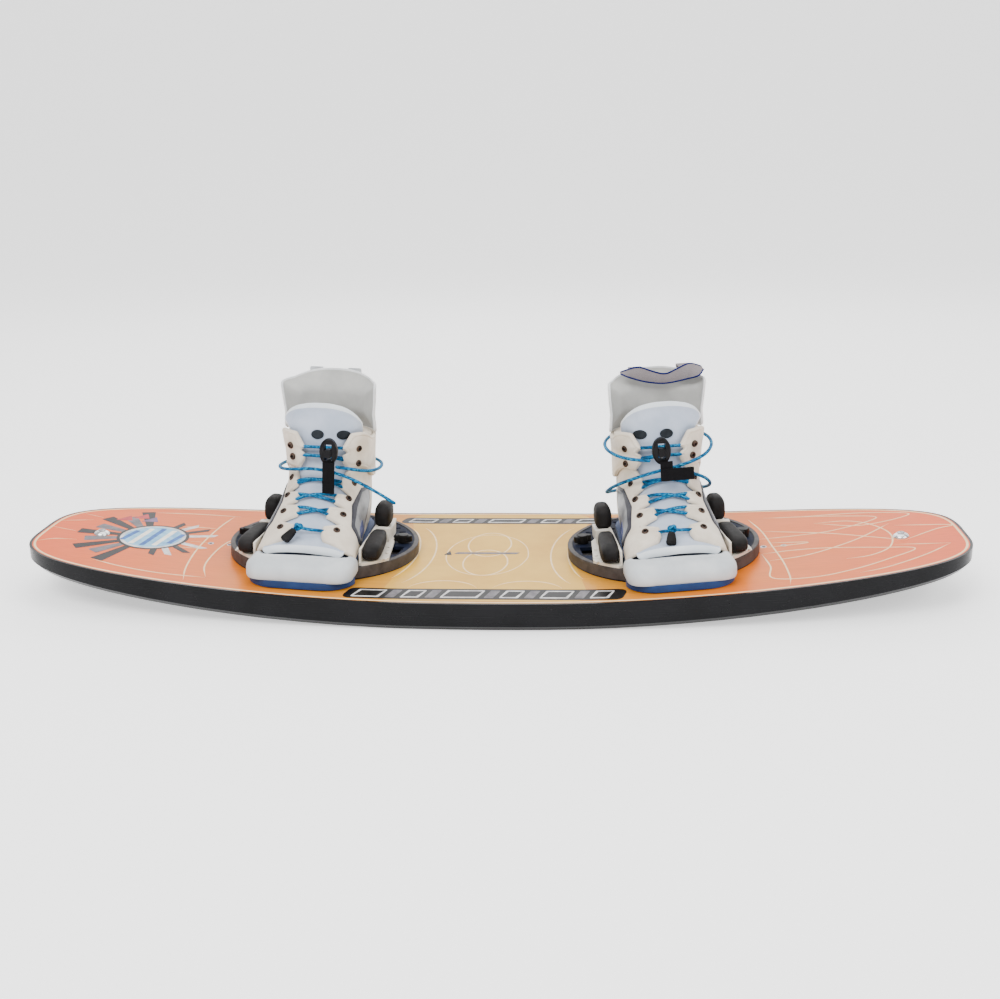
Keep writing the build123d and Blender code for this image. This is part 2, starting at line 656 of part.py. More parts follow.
def main():
    os.makedirs("parts", exist_ok=True)
    full, hull, sheet = board_solids()

    # threaded inserts, square to the deck under each binding
    inserts = []
    for sign, side in ((-1, "left"), (1, "right")):
        for distance in insert_places():
            x = sign * (distance - STANCE_HALF)
            under = disc_frame(side) * rod(INSERT_RADIUS, -INSERT_DEPTH - 18, 30, x)
            inserts.append((under & full) - disc_frame(side) * rod(INSERT_BORE, -60, 30, x))
            hull -= disc_frame(side) * rod(INSERT_RADIUS, -INSERT_DEPTH - 18, 30, x)
            sheet -= disc_frame(side) * rod(INSERT_RADIUS, -60, 30, x)
    write("threaded_inserts", *[s for i in inserts for s in i.solids()])

    # fins with their bolts and washers
    right_fin = fin(full)
    washers, bolts = [], []
    for sign in (-1, 1):
        hole = fin_frame(sign) * rod(FIN_BOLT_RADIUS + 0.4, -60, 20)
        hull, sheet = hull - hole, sheet - hole
        washers.append(fin_frame(sign) * fin_washer() - full)
        bolts.append(fin_frame(sign) * fin_bolt())
    left_fin = mirrored(right_fin) - full
    write("right_fin", right_fin)
    write("left_fin", max(left_fin.solids(), key=lambda s: s.volume))
    write("fin_washers", *washers)
    write("fin_bolts", *bolts)
    write("board_hull", hull)
    write("topsheet", sheet)

    # soft layers over the foot form
    offsets = (0, LINING, LINING + GAP, VENT, UPPER - 1, UPPER, UPPER + GAP, BADGE, STRAP, CALF_PAD)
    forms = {offset: boot_form(offset) for offset in offsets}
    lines = eyelet_lines()
    holes = [along(line, 5.1, 3) for line in lines]
    rings = [eyelet(line) for line in lines]
    sole = footbed()
    boot = {
        "footbed": sole,
        "toe_cap": toe_cap(sole, forms[LINING + GAP]),
        "tongue": tongue(forms),
        "inner_overlay": overlay(forms, 1),
        "outer_overlay": overlay(forms, -1),
        "cuff": cuff(forms),
        "back_panel": back_panel(forms),
        "inner_side_frame": side_frame(),
        "outer_side_frame": mirrored(side_frame()),
    }
    for name in ("inner_overlay", "outer_overlay", "cuff"):
        for hole in holes:
            boot[name] -= hole
    side_plates, vents = badges(forms), tongue_vents(forms)
    front_pad, rear_pad = front_bumper(), rear_bumper()
    rim, plate = disc_rim(), disc_plate()
    lower_laces = [lace_row(*row, UPPER) for row in LOWER_ROWS]
    upper_laces = [lace_row(*row, STRAP) for row in UPPER_ROWS]

    shared_names = ("eyelets", "frame_rivets", "front_bumpers", "rear_bumpers", "side_badges",
                    "tongue_vents", "lock_springs")
    groups = {name: [] for name in shared_names}
    for side in ("left", "right"):
        frame = disc_frame(side)
        gasket = frame * rod(DISC_RADIUS - 0.5, -DISC_HEIGHT - 14, -DISC_HEIGHT) - full
        outward = -1 if side == "left" else 1
        for place in (-1, 1):
            gasket -= frame * rod(STUD_ROOM, -60, 5, place * KNOB_RADIUS_PLACE)
        write(side + "_gasket", max(gasket.solids(), key=lambda s: s.volume))
        write(side + "_disc_rim", frame * rim)
        write(side + "_disc_plate", frame * plate)
        for word, place in (("outer", outward), ("inner", -outward)):
            spot = frame * Pos(place * KNOB_RADIUS_PLACE, 0, 0)
            write(f"{side}_{word}_knob", spot * Rot(0, 0, KNOB_TURN[side, word]) * knob())
            write(f"{side}_{word}_stud", spot * knob_stud())

        for name, solid in boot.items():
            part = placed(solid, side)
            if name.endswith("side_frame"):
                for place in (-1, 1):
                    part -= frame * rod(KNOB_ROOM, -5, 40, place * KNOB_RADIUS_PLACE)
                part = max(part.solids(), key=lambda s: s.volume)
            write(f"{side}_{name}", part)
        groups["eyelets"] += [placed(ring, side) for ring in rings]
        for x, y in RIVET_PLACES:
            groups["frame_rivets"] += [placed(rivet(x, y), side), placed(rivet(-x, y), side)]
        groups["front_bumpers"] += [placed(front_pad, side), placed(mirrored(front_pad), side)]
        groups["rear_bumpers"] += [placed(rear_pad, side), placed(mirrored(rear_pad), side)]
        groups["side_badges"] += [placed(plate, side) for plate in side_plates]
        groups["tongue_vents"] += [placed(vent, side) for vent in vents]

        knot, tab_top, tab_bottom = END_TABS[side]
        knot_ball = Pos(*knot) * Sphere(KNOT_RADIUS)
        laces = [lower_laces[0] + knot_ball] + lower_laces[1:] + upper_laces
        write(side + "_laces", *[placed(lace, side) for lace in laces])
        write(side + "_end_tab", placed(end_tab(tab_top, tab_bottom), side))
        spot = Pos(LOCK_X[side], LOCK_FRONT + LOCK_DEPTH / 2, LOCK_HEIGHT)
        write(side + "_lock_body", placed(spot * lock_body(), side))
        write(side + "_lock_button", placed(spot * lock_button(), side))
        groups["lock_springs"].append(placed(spot * lock_spring(), side))
        write(side + "_pull_tab", placed(pull_tab(side), side))
        write(side + "_pull_strap", placed(pull_strap(side), side))
        cord = tube(WRAP_ROUTES[side], CORD_RADIUS, side + " lace cord")
        write(side + "_lace_cord", placed(cord, side))
    for name, solids in groups.items():
        write(name, *solids)


main()
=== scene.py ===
"""Looks of a wakeboard with two lace-up boots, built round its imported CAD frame.

Every length here is in millimetres, in the frame of the board or of one boot, and turns into metres
where a mesh is made. A boot's own frame has its origin on top of its binding plate, +x to the inner
side of the foot, -y to the toes and +z up.
"""

from math import atan2, ceil, cos, degrees, pi, radians, sin

import bmesh
import bpy
import numpy as np
from mathutils import Matrix, Vector, geometry


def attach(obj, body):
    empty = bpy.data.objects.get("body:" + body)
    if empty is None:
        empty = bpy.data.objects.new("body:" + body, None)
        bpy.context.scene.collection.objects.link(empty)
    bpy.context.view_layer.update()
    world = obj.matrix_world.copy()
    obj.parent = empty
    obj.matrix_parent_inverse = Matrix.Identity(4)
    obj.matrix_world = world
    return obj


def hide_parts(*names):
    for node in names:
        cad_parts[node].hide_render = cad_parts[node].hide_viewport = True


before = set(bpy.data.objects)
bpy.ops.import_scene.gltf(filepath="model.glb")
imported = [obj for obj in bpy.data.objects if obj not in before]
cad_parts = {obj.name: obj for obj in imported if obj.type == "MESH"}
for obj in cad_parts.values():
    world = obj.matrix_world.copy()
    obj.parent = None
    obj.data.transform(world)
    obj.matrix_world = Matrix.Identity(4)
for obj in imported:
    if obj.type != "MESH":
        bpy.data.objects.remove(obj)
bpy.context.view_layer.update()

MM = 0.001
SIDES = ("left", "right")

# ---------------------------------------------------------------- driving dimensions
BOARD_LENGTH, BOARD_WIDTH = 1390, 434
BASE_FLAT_HALF = 90
ROCKER_HEIGHT, ROCKER_POWER = 55, 1.85
MIDDLE_THICKNESS, TIP_THICKNESS = 40, 24
OUTLINE_LONG_POWER, OUTLINE_WIDE_POWER = 1.64, 3.78
TOPSHEET_THICKNESS, TOPSHEET_INSET = 1.4, 4

STANCE_HALF, PLATE_TOP = 255, 64
FOOT_YAW = {"left": -2.5, "right": 7.5}
BOOT_LEAN = -0.05
DISC_ROOM = 143.5            # radius that the boot's parts beyond the disc keep clear of
INSERT_PLACES = (106, 136, 166, 344, 374, 404, 434)
FIN_PLACE = 604
INSERT_HOLE, FIN_HOLE = 5.05, 3.4

# Foot form: front point (y, z), back point (y, z) and half width of each cross-section, toe to calf.
FORM = [
    ((-150, 10), (-150, -6), 55),
    ((-128, 17), (-128, -6), 58),
    ((-95, 33), (-93, -6), 57),
    ((-58, 53), (-52, -6), 54),
    ((-28, 72), (-8, -6), 50),
    ((-10, 90), (40, -6), 48),
    ((0, 106), (88, 8), 47),
    ((4, 122), (103, 55), 47),
    ((7, 138), (104, 105), 48),
    ((9, 150), (102, 150), 51),
    ((16, 195), (100, 195), 57),
    ((22, 240), (99, 240), 60),
]
FORM_POWER = 2.5
LAST_STATION, STATION_STEPS = len(FORM) - 1, 220
LINING, UPPER, STRAP = 8.0, 14.4, 20.4     # outer faces of tongue, overlays and cuff over the foot form
CALF_PAD = STRAP + 1.5
CALF_CORNER = 34
GAP = 0.4

# Eyelet rows: station along the form, angle to the inner side and to the outer side of the instep line.
LOWER_ROWS = [(2.07, 31, 31), (2.92, 36, 36), (3.97, 42, 42), (5.40, 49, 43)]
UPPER_ROWS = [(7.00, 52, 34), (8.40, 52, 36)]

LACE_RADIUS, CORD_RADIUS = 2.0, 2.3
END_TABS = {
    "left": ((-14, -104, 50), (-17, -111, 48), (-29, -128, 36)),
    "right": ((3, -104, 49), (5, -110, 46.5), (9, -127.5, 33.5)),
}
STRAP_AXIS = (123.8, 240.6)

# Free cords in each boot's own frame, the same routes as in the CAD.
WRAP_ROUTES = {
    # from the cord lock round the ankle, back across the front and out past the inner side
    "left": [
        (22, -27, 121), (42, -20, 117), (62, -2, 110), (73, 28, 105), (75, 62, 103), (65, 98, 101),
        (42, 124, 100), (8, 138, 99), (-33, 135, 98), (-64, 113, 97), (-82, 76, 97), (-82, 38, 100),
        (-67, 4, 105), (-42, -21, 112), (-12, -31, 118), (20, -31, 114), (48, -28, 104),
        (74, -26, 91), (96, -26, 79), (113, -26, 69),
    ],
    # a loop round the cuff and a second one low round the heel, both ends in the cord lock
    "right": [
        (18, -28, 130), (40, -22, 131), (62, 0, 133), (74, 32, 136), (73, 68, 139), (58, 104, 141),
        (30, 129, 142), (-6, 135, 142), (-43, 130, 141), (-72, 105, 140), (-86, 67, 138),
        (-85, 30, 134), (-70, -4, 129), (-46, -24, 124), (-18, -31, 119), (14, -30, 113),
        (37, -22, 105), (57, -4, 94), (70, 24, 80), (74, 54, 66), (70, 84, 56), (54, 112, 50),
        (28, 131, 47), (-6, 136, 46), (-40, 128, 47), (-64, 105, 50), (-76, 74, 55), (-81, 42, 66),
        (-77, 13, 80), (-63, -10, 95), (-39, -27, 108), (-14, -31, 120),
    ],
}


# ---------------------------------------------------------------- sums used all through
def ease(value):
    """Rises smoothly from 0 to 1."""
    t = np.clip(value, 0, 1)
    return t * t * (3 - 2 * t)


def run_along(points):
    """Distance along a line up to each of its points."""
    return np.concatenate([[0], np.cumsum(np.linalg.norm(np.diff(points, axis=0), axis=1))])


def picked(points, run, places):
    """Points of a line at places along it."""
    return np.stack([np.interp(places, run, column) for column in points.T], -1)


def circle(count):
    """Angles in radians, evenly round a circle."""
    return np.linspace(0, 2 * pi, count, endpoint=False)


# ---------------------------------------------------------------- board shape and frames
def base_height(x):
    run = np.maximum(0.0, np.abs(x) - BASE_FLAT_HALF) / (BOARD_LENGTH / 2 - BASE_FLAT_HALF)
    return ROCKER_HEIGHT * run**ROCKER_POWER


def deck_height(x):
    share = np.abs(x) / (BOARD_LENGTH / 2)
    return base_height(x) + MIDDLE_THICKNESS - (MIDDLE_THICKNESS - TIP_THICKNESS) * share**3


def deck_slope(place):
    """Slope of the deck in radians at a distance from the middle."""
    return atan2(float(deck_height(place + 1.0) - deck_height(place - 1.0)), 2.0)


def deck_frame(sign, place, height):
    """Frame on the deck at sign * place, tilted with it; its units are millimetres."""
    tilt = Matrix.Rotation(-sign * deck_slope(place), 4, "Y")
    return Matrix.Scale(MM, 4) @ Matrix.Translation((sign * place, 0, height)) @ tilt


def disc_frame(side):
    return deck_frame(-1 if side == "left" else 1, STANCE_HALF, PLATE_TOP)


def boot_frame(side):
    turn = Matrix.Rotation(radians(FOOT_YAW[side]), 4, "Z")
    hand = Matrix.Identity(4) if side == "left" else Matrix.Scale(-1, 4, (1, 0, 0))
    return disc_frame(side) @ turn @ hand


# ---------------------------------------------------------------- the foot form
ROWS = np.array([[*front, *back, half] for front, back, half in FORM], float)


def form_rows(stations):
    """Rows of the form at any stations, by a smooth curve through the given ones."""
    u = np.clip(stations, 0, len(ROWS) - 1.0001)
    k = u.astype(int)
    t = (u - k)[..., None]
    last = len(ROWS) - 1
    p0, p1, p2, p3 = (ROWS[np.clip(k + step, 0, last)] for step in (-1, 0, 1, 2))
    m1, m2 = (p2 - p0) / 2, (p3 - p1) / 2
    return ((2 * t**3 - 3 * t**2 + 1) * p1 + (t**3 - 2 * t**2 + t) * m1
            + (3 * t**2 - 2 * t**3) * p2 + (t**3 - t**2) * m2)


def signed_power(value):
    return np.sign(value) * np.abs(value) ** (2 / FORM_POWER)


def form_points(stations, angles, offsets):
    """Points of the foot form grown by offsets. Angle 0 is the instep line and 90 the inner side."""
    given = [np.asarray(value, float) for value in (stations, angles, offsets)]
    stations, angles, offsets = np.broadcast_arrays(*given)
    rows = form_rows(stations)
    span_y, span_z = rows[..., 0] - rows[..., 2], rows[..., 1] - rows[..., 3]
    depth = np.hypot(span_y, span_z)
    forward = (depth / 2 + offsets) * signed_power(np.cos(np.radians(angles)))
    y = (rows[..., 0] + rows[..., 2]) / 2 + forward * span_y / depth
    z = (rows[..., 1] + rows[..., 3]) / 2 + forward * span_z / depth
    x = (rows[..., 4] + offsets) * signed_power(np.sin(np.radians(angles)))
    return np.stack([x + BOOT_LEAN * z, y, z], -1)


def form_point(station, angle, offset):
    return Vector(form_points(station, angle, offset))


def form_normal(station, angle, offset):
    here = form_point(station, angle, offset)
    along_form = form_point(station + 0.1, angle, offset) - here
    around = form_point(station, angle + 2, offset) - here
    normal = around.cross(along_form).normalized()
    outward = form_point(station, angle, offset + 5) - here
    return normal if normal.dot(outward) > 0 else -normal


def station_at_height(z, angle, offset):
    """Station above the instep where the form at that angle reaches a height."""
    stations = np.linspace(4, LAST_STATION, 141)
    return float(np.interp(z, form_points(stations, angle, offset)[:, 2], stations))


def side_spot(y, z, offset, hand=1):
    """(station, angle) of the form's surface where the side view shows (y, z)."""
    stations = np.linspace(0, LAST_STATION, 5 * STATION_STEPS + 1)
    rows = form_rows(stations)
    span = np.stack([rows[:, 0] - rows[:, 2], rows[:, 1] - rows[:, 3]], -1)
    depth = np.linalg.norm(span, axis=1)
    unit = span / depth[:, None]
    middle_y, middle_z = (rows[:, 0] + rows[:, 2]) / 2, (rows[:, 1] + rows[:, 3]) / 2
    from_middle = np.stack([y - middle_y, z - middle_z], -1)
    across = from_middle[:, 0] * unit[:, 1] - from_middle[:, 1] * unit[:, 0]
    k = int(np.argmin(np.abs(across)))
    share = float(np.clip((from_middle[k] @ unit[k]) / (depth[k] / 2 + offset), -1, 1))
    angle = degrees(np.arccos(np.sign(share) * abs(share) ** (FORM_POWER / 2)))
    return stations[k], hand * angle


class FootPattern:
    """Flat coordinates on the form: a runs along it from a station, b runs round it from an angle."""

    def __init__(self, station, first_angle, zero_angle):
        self.angles = np.linspace(first_angle, first_angle + 360, 721)
        self.stations = np.linspace(0, LAST_STATION, STATION_STEPS + 1)
        ring = form_points(station, self.angles, UPPER)
        girth = run_along(ring)
        self.girth = girth - np.interp(zero_angle, self.angles, girth)
        grid = form_points(self.stations[:, None], self.angles[None, :], UPPER)
        steps = np.linalg.norm(np.diff(grid, axis=0), axis=2)
        along = np.concatenate([np.zeros((1, len(self.angles))), np.cumsum(steps, axis=0)])
        self.along = along - along[int(round(station / LAST_STATION * STATION_STEPS))]

    def flat(self, station, angle):
        """(a, b) of a station and angle."""
        column = (angle - self.angles[0]) / (self.angles[1] - self.angles[0])
        k = int(np.clip(column, 0, len(self.angles) - 2))
        line = self.along[:, k] + (self.along[:, k + 1] - self.along[:, k]) * (column - k)
        a = np.interp(station, self.stations, line)
        return float(a), float(np.interp(angle, self.angles, self.girth))

    def surface(self, a, b, offsets):
        """Points over the form at flat coordinates."""
        angles = np.interp(b, self.girth, self.angles)
        columns = (angles - self.angles[0]) / (self.angles[1] - self.angles[0])
        k = np.clip(columns.astype(int), 0, len(self.angles) - 2)
        share = columns - k
        lines = self.along[:, k] * (1 - share) + self.along[:, k + 1] * share
        stations = [np.interp(value, line, self.stations) for value, line in zip(a, lines.T)]
        return form_points(stations, angles, offsets)


FRONT = FootPattern(4, -180, 0)
BACK = FootPattern(8, 0, 180)


# ---------------------------------------------------------------- outlines and pads
def rounded(corners, step=1.0):
    """Closed outline from (a, b, radius) corners, each turned by an arc."""
    outline = []
    count = len(corners)
    for k in range(count):
        before, here, after = (np.array(corners[(k + d) % count][:2], float) for d in (-1, 0, 1))
        radius = corners[k][2]
        one, two = before - here, after - here
        len_one, len_two = np.linalg.norm(one), np.linalg.norm(two)
        one, two = one / len_one, two / len_two
        turn = pi - np.arccos(np.clip(one @ two, -1, 1))
        reach = min(radius * np.tan(turn / 2), 0.48 * len_one, 0.48 * len_two)
        if radius <= 0 or turn < 0.02:
            outline.append(here)
            continue
        pieces = max(2, ceil(turn * radius / step))
        start, end = here + one * reach, here + two * reach
        for j in range(pieces + 1):
            t = j / pieces
            outline.append((1 - t) ** 2 * start + 2 * t * (1 - t) * here + t**2 * end)
    return np.array(outline)


def resampled(outline, step):
    """The same closed outline with points about a step apart; corners are kept."""
    points = []
    for here, after in zip(outline, np.roll(outline, -1, axis=0)):
        length = np.linalg.norm(after - here)
        count = max(1, int(round(length / step)))
        if length < 1e-6:
            continue
        for j in range(count):
            points.append(here + (after - here) * j / count)
    return np.array(points)


def signed_area(outline):
    x, y = outline[:, 0], outline[:, 1]
    return 0.5 * float(np.sum(x * np.roll(y, -1) - np.roll(x, -1) * y))


def distance_to(points, outline):
    """Distance from each point to a closed outline."""
    a, b = outline, np.roll(outline, -1, axis=0)
    best = np.full(len(points), 1e9)
    for p, q in zip(a, b):
        d = q - p
        t = np.clip(((points - p) @ d) / max(d @ d, 1e-12), 0, 1)
        best = np.minimum(best, np.linalg.norm(points - (p + t[:, None] * d), axis=1))
    return best


def inside(points, outline):
    x, y = points[:, 0], points[:, 1]
    result = np.zeros(len(points), bool)
    for (x0, y0), (x1, y1) in zip(outline, np.roll(outline, -1, axis=0)):
        crosses = (y0 > y) != (y1 > y)
        with np.errstate(divide="ignore", invalid="ignore"):
            result ^= crosses & (x < (x1 - x0) * (y - y0) / (y1 - y0 + 1e-30) + x0)
    return result


def inward_normals(outline):
    tangent = np.roll(outline, -1, axis=0) - np.roll(outline, 1, axis=0)
    tangent /= np.maximum(np.linalg.norm(tangent, axis=1), 1e-9)[:, None]
    return np.stack([-tangent[:, 1], tangent[:, 0]], -1)


def pad_mesh(outline, top, wall, rings, pitch, holes=(), under=None):
    """Closed pad cut to a flat outline: points (a, b, height), faces, and each point's edge distance.

    top(a, b, d) gives the upper face's height at distance d from the edge, and under the lower one's.
    wall lists (height, inset) rows from the upper edge down to the under face. rings are the edge
    distances that get their own row of points, and pitch is the spacing of the rest. The faces run
    from the upper ones over the wall to the under ones.
    """
    outline = np.asarray(outline, float)
    if signed_area(outline) < 0:
        outline = outline[::-1]
    loops = [resampled(outline, pitch * 0.8)]
    loops += [np.asarray(hole if signed_area(hole) < 0 else hole[::-1]) for hole in holes]
    edge = np.concatenate(loops)
    normals = np.concatenate([inward_normals(loop) for loop in loops])
    extra = []
    for ring in rings:
        moved = edge + normals * ring
        near = np.min([distance_to(moved, loop) for loop in loops], axis=0)
        keep = inside(moved, loops[0]) & (near > 0.9 * ring)
        extra.append(moved[keep])
    low, high = edge.min(0), edge.max(0)
    grid = []
    for j, b in enumerate(np.arange(low[1], high[1], pitch * 0.87)):
        a = np.arange(low[0] + (j % 2) * pitch / 2, high[0], pitch)
        grid.append(np.stack([a, np.full(len(a), b)], -1))
    grid = np.concatenate(grid)
    grid = grid[inside(grid, loops[0])]
    near = np.min([distance_to(grid, loop) for loop in loops], axis=0)
    in_hole = np.zeros(len(grid), bool)
    for loop in loops[1:]:
        in_hole |= inside(grid, loop)
    grid = grid[(near > (rings[-1] if rings else 0) + 0.6 * pitch) & ~in_hole]
    flat = np.concatenate([edge, *extra, grid])
    constraints, start = [], 0
    for loop in loops:
        constraints += [(start + k, start + (k + 1) % len(loop)) for k in range(len(loop))]
        start += len(loop)
    found = geometry.delaunay_2d_cdt([Vector(p) for p in flat], constraints, [], 0, 1e-5)
    spots = np.array([[*v] for v in found[0]])
    triangles = np.array(found[2])
    centres = spots[triangles].mean(1)
    keep = inside(centres, loops[0])
    for loop in loops[1:]:
        keep &= ~inside(centres, loop)
    triangles = triangles[keep]
    near = np.min([distance_to(spots, loop) for loop in loops], axis=0)
    where = {old: new for new, olds in enumerate(found[3]) for old in olds}
    count = len(spots)
    heights = top(spots[:, 0], spots[:, 1], near)
    points = [np.column_stack([spots, heights])]
    faces = [tuple(t) for t in triangles]
    distances = [near]
    wall = [(height(*edge.T) if callable(height) else np.full(len(edge), height, float), inset)
            for height, inset in wall]
    border = np.array([where[k] for k in range(len(edge))])
    below_heights = under(spots[:, 0], spots[:, 1], near) if under else np.full(count, wall[-1][0][0])
    below = np.column_stack([spots, below_heights])
    below[border, :2] = edge + normals * wall[-1][1]
    rows_made = [border]
    total = count
    for height, inset in wall[:-1]:
        points.append(np.column_stack([edge + normals * inset, height]))
        distances.append(np.zeros(len(edge)))
        rows_made.append(np.arange(total, total + len(edge)))
        total += len(edge)
    points.append(below)
    distances.append(near)
    rows_made.append(border + total)
    for upper, lower in zip(rows_made, rows_made[1:]):
        start = 0
        for loop in loops:
            for k in range(len(loop)):
                i, j = start + k, start + (k + 1) % len(loop)
                faces.append((upper[j], upper[i], lower[i], lower[j]))
            start += len(loop)
    faces += [(t[2] + total, t[1] + total, t[0] + total) for t in triangles]
    return np.concatenate(points), faces, np.concatenate(distances)


def soft_edge(low, high, radius, share=0.35):
    """Height law of a pad whose edge is rounded over a radius."""
    def law(a, b, d):
        t = np.clip(d / radius, 0, 1)
        return low + (high - low) * (share + (1 - share) * np.sqrt(1 - (1 - t) ** 2))
    return law


def groove(d, place, width, depth):
    """A stitched channel at one distance from the edge."""
    return -depth * np.exp(-(((d - place) / width) ** 2))


# ---------------------------------------------------------------- making pieces
def make_piece(name, points, faces, matrix, body, materials, nodes=(), groups=None,
               crease=38, uv=None):
    """A mesh object from millimetre points in the given frame, riding on a CAD body."""
    placed = np.asarray(points, float) @ np.array(matrix.to_3x3()).T + np.array(matrix.translation)
    mesh = bpy.data.meshes.new(name)
    mesh.from_pydata(placed.tolist(), [], [tuple(int(i) for i in f) for f in faces])
    if groups is not None:
        mesh.polygons.foreach_set("material_index", np.asarray(groups, np.int32))
    if uv is not None:
        layer = mesh.uv_layers.new(name="UVMap")
        layer.data.foreach_set("uv", np.asarray(uv, np.float32).ravel())
    sewn = bmesh.new()
    sewn.from_mesh(mesh)
    bmesh.ops.recalc_face_normals(sewn, faces=sewn.faces)
    sewn.to_mesh(mesh)
    sewn.free()
    mesh.update()
    mesh.polygons.foreach_set("use_smooth", np.ones(len(mesh.polygons), bool))
    mesh.set_sharp_from_angle(angle=radians(crease))
    piece = bpy.data.objects.new(name, mesh)
    bpy.context.scene.collection.objects.link(piece)
    for material in materials if isinstance(materials, (list, tuple)) else [materials]:
        mesh.materials.append(material)
    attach(piece, body)
    if nodes:
        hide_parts(*nodes)
    return piece


def joined(parts):
    """Points and faces of several meshes as one."""
    points, faces, total = [], [], 0
    for part_points, part_faces in parts:
        points.append(np.asarray(part_points, float))
        faces += [tuple(int(i) + total for i in f) for f in part_faces]
        total += len(part_points)
    return np.concatenate(points), faces


def lathe(profile, count=32):
    """Points and faces of a (radius, z) profile turned round z.

    The profile starts and ends on the axis, or closes on itself.
    """
    points, faces = [], []
    for k in range(count):
        angle = 2 * pi * k / count
        points += [(r * cos(angle), r * sin(angle), z) for r, z in profile]
    rows = len(profile)
    for k in range(count):
        here, after = k * rows, (k + 1) % count * rows
        for j in range(rows - 1):
            faces.append((here + j, after + j, after + j + 1, here + j + 1))
    return merge_axis(np.array(points, float), faces)


def merge_axis(points, faces):
    """Joins points that fall in one place, and drops the faces that closes up."""
    keys, order, lookup = {}, [], []
    for p in np.round(points, 5):
        key = tuple(p)
        if key not in keys:
            keys[key] = len(order)
            order.append(p)
        lookup.append(keys[key])
    clean = []
    for face in faces:
        ring = []
        for i in face:
            if lookup[i] not in ring:
                ring.append(lookup[i])
        if len(ring) > 2:
            clean.append(tuple(ring))
    return np.array(order), clean


def aimed(points, place, axis):
    """Points turned so that their +z looks along an axis, then moved to a place."""
    turn = Vector(axis).to_track_quat("Z", "Y").to_matrix()
    return np.asarray(points) @ np.array(turn).T + np.array(place)


def superellipsoid(centre, half, flat_power, tall_power, rows, columns, taper=0.0):
    """Rounded pad; higher powers are boxier. Taper narrows it towards +y."""
    def curved(value, power):
        return np.sign(value) * abs(value) ** (2 / power)

    points, faces = [], []
    for i in range(rows + 1):
        rise = -pi / 2 + pi * i / rows
        for j in range(columns):
            turn = 2 * pi * j / columns
            ring = curved(cos(rise), tall_power)
            x = half[0] * ring * curved(cos(turn), flat_power)
            y = half[1] * ring * curved(sin(turn), flat_power)
            z = half[2] * curved(sin(rise), tall_power)
            x *= 1 - taper * (y / half[1] + 1) / 2
            points.append((centre[0] + x, centre[1] + y, centre[2] + z))
    for i in range(rows):
        for j in range(columns):
            here, after, k = i * columns, (i + 1) * columns, (j + 1) % columns
            faces.append((here + j, here + k, after + k, after + j))
    return merge_axis(np.array(points), faces)


# ---------------------------------------------------------------- cords and laces
def smooth_line(route, step=1.0):
    """Points of the NURBS line that has the route as its control points, evenly a step apart."""
    curve = bpy.data.curves.new("line", "CURVE")
    curve.dimensions = "3D"
    curve.resolution_u = 24
    spline = curve.splines.new("NURBS")
    spline.points.add(len(route) - 1)
    for point, place in zip(spline.points, route):
        point.co = (*place, 1)
    spline.order_u = 3
    spline.use_endpoint_u = True
    holder = bpy.data.objects.new("line", curve)
    mesh = bpy.data.meshes.new_from_object(holder)
    raw = np.array([v.co for v in mesh.vertices])
    bpy.data.objects.remove(holder)
    bpy.data.meshes.remove(mesh)
    bpy.data.curves.remove(curve)
    run = run_along(raw)
    return picked(raw, run, np.linspace(0, run[-1], max(4, int(run[-1] / step)) + 1))


def braided_tube(line, radius, around=20, braid=8.5, depth=0.09):
    """Tube along a line whose surface has the diamonds of a round braid, with rounded ends.

    Returns points, faces and a uv for each face corner: u is millimetres along, v goes round.
    """
    tangent = np.gradient(line, axis=0)
    tangent /= np.linalg.norm(tangent, axis=1)[:, None]
    side = Vector(tangent[0]).orthogonal().normalized()
    points, uv = [], []
    run = run_along(line)
    before = Vector(tangent[0])
    turn = np.arange(around) / around * 2 * pi
    for k, (place, way) in enumerate(zip(line, tangent)):
        way = Vector(way)
        side = before.rotation_difference(way) @ side
        side = (side - way * side.dot(way)).normalized()
        before = way
        other = way.cross(side)
        phase = run[k] / braid * 2 * pi
        weave = np.cos(4 * turn + phase) * np.cos(4 * turn - phase)
        ends = min(run[k], run[-1] - run[k]) / radius
        size = radius * np.sqrt(max(0.05, 1 - max(0.0, 1 - ends) ** 2))
        reach = size * (1 - depth / 2 + depth / 2 * weave)
        ring = np.outer(reach * np.cos(turn), side) + np.outer(reach * np.sin(turn), other) + place
        points.append(ring)
    count = len(line)
    faces = []
    for k in range(count - 1):
        for j in range(around):
            here, after, i = k * around, (k + 1) * around, (j + 1) % around
            faces.append((here + j, here + i, after + i, after + j))
            near, far, one, two = run[k], run[k + 1], j / around, (j + 1) / around
            uv += [(near, one), (near, two), (far, two), (far, one)]
    faces.append(tuple(range(around))[::-1])
    faces.append(tuple(range((count - 1) * around, count * around)))
    uv += [(0.0, 0.0)] * (2 * around)
    return np.concatenate(points), faces, uv


# ---------------------------------------------------------------- materials
def linear(red, green, blue):
    """Linear colour of an sRGB one given from 0 to 255."""
    parts = [v / 255 for v in (red, green, blue)]
    return (*[p / 12.92 if p <= 0.04045 else ((p + 0.055) / 1.055) ** 2.4 for p in parts], 1.0)


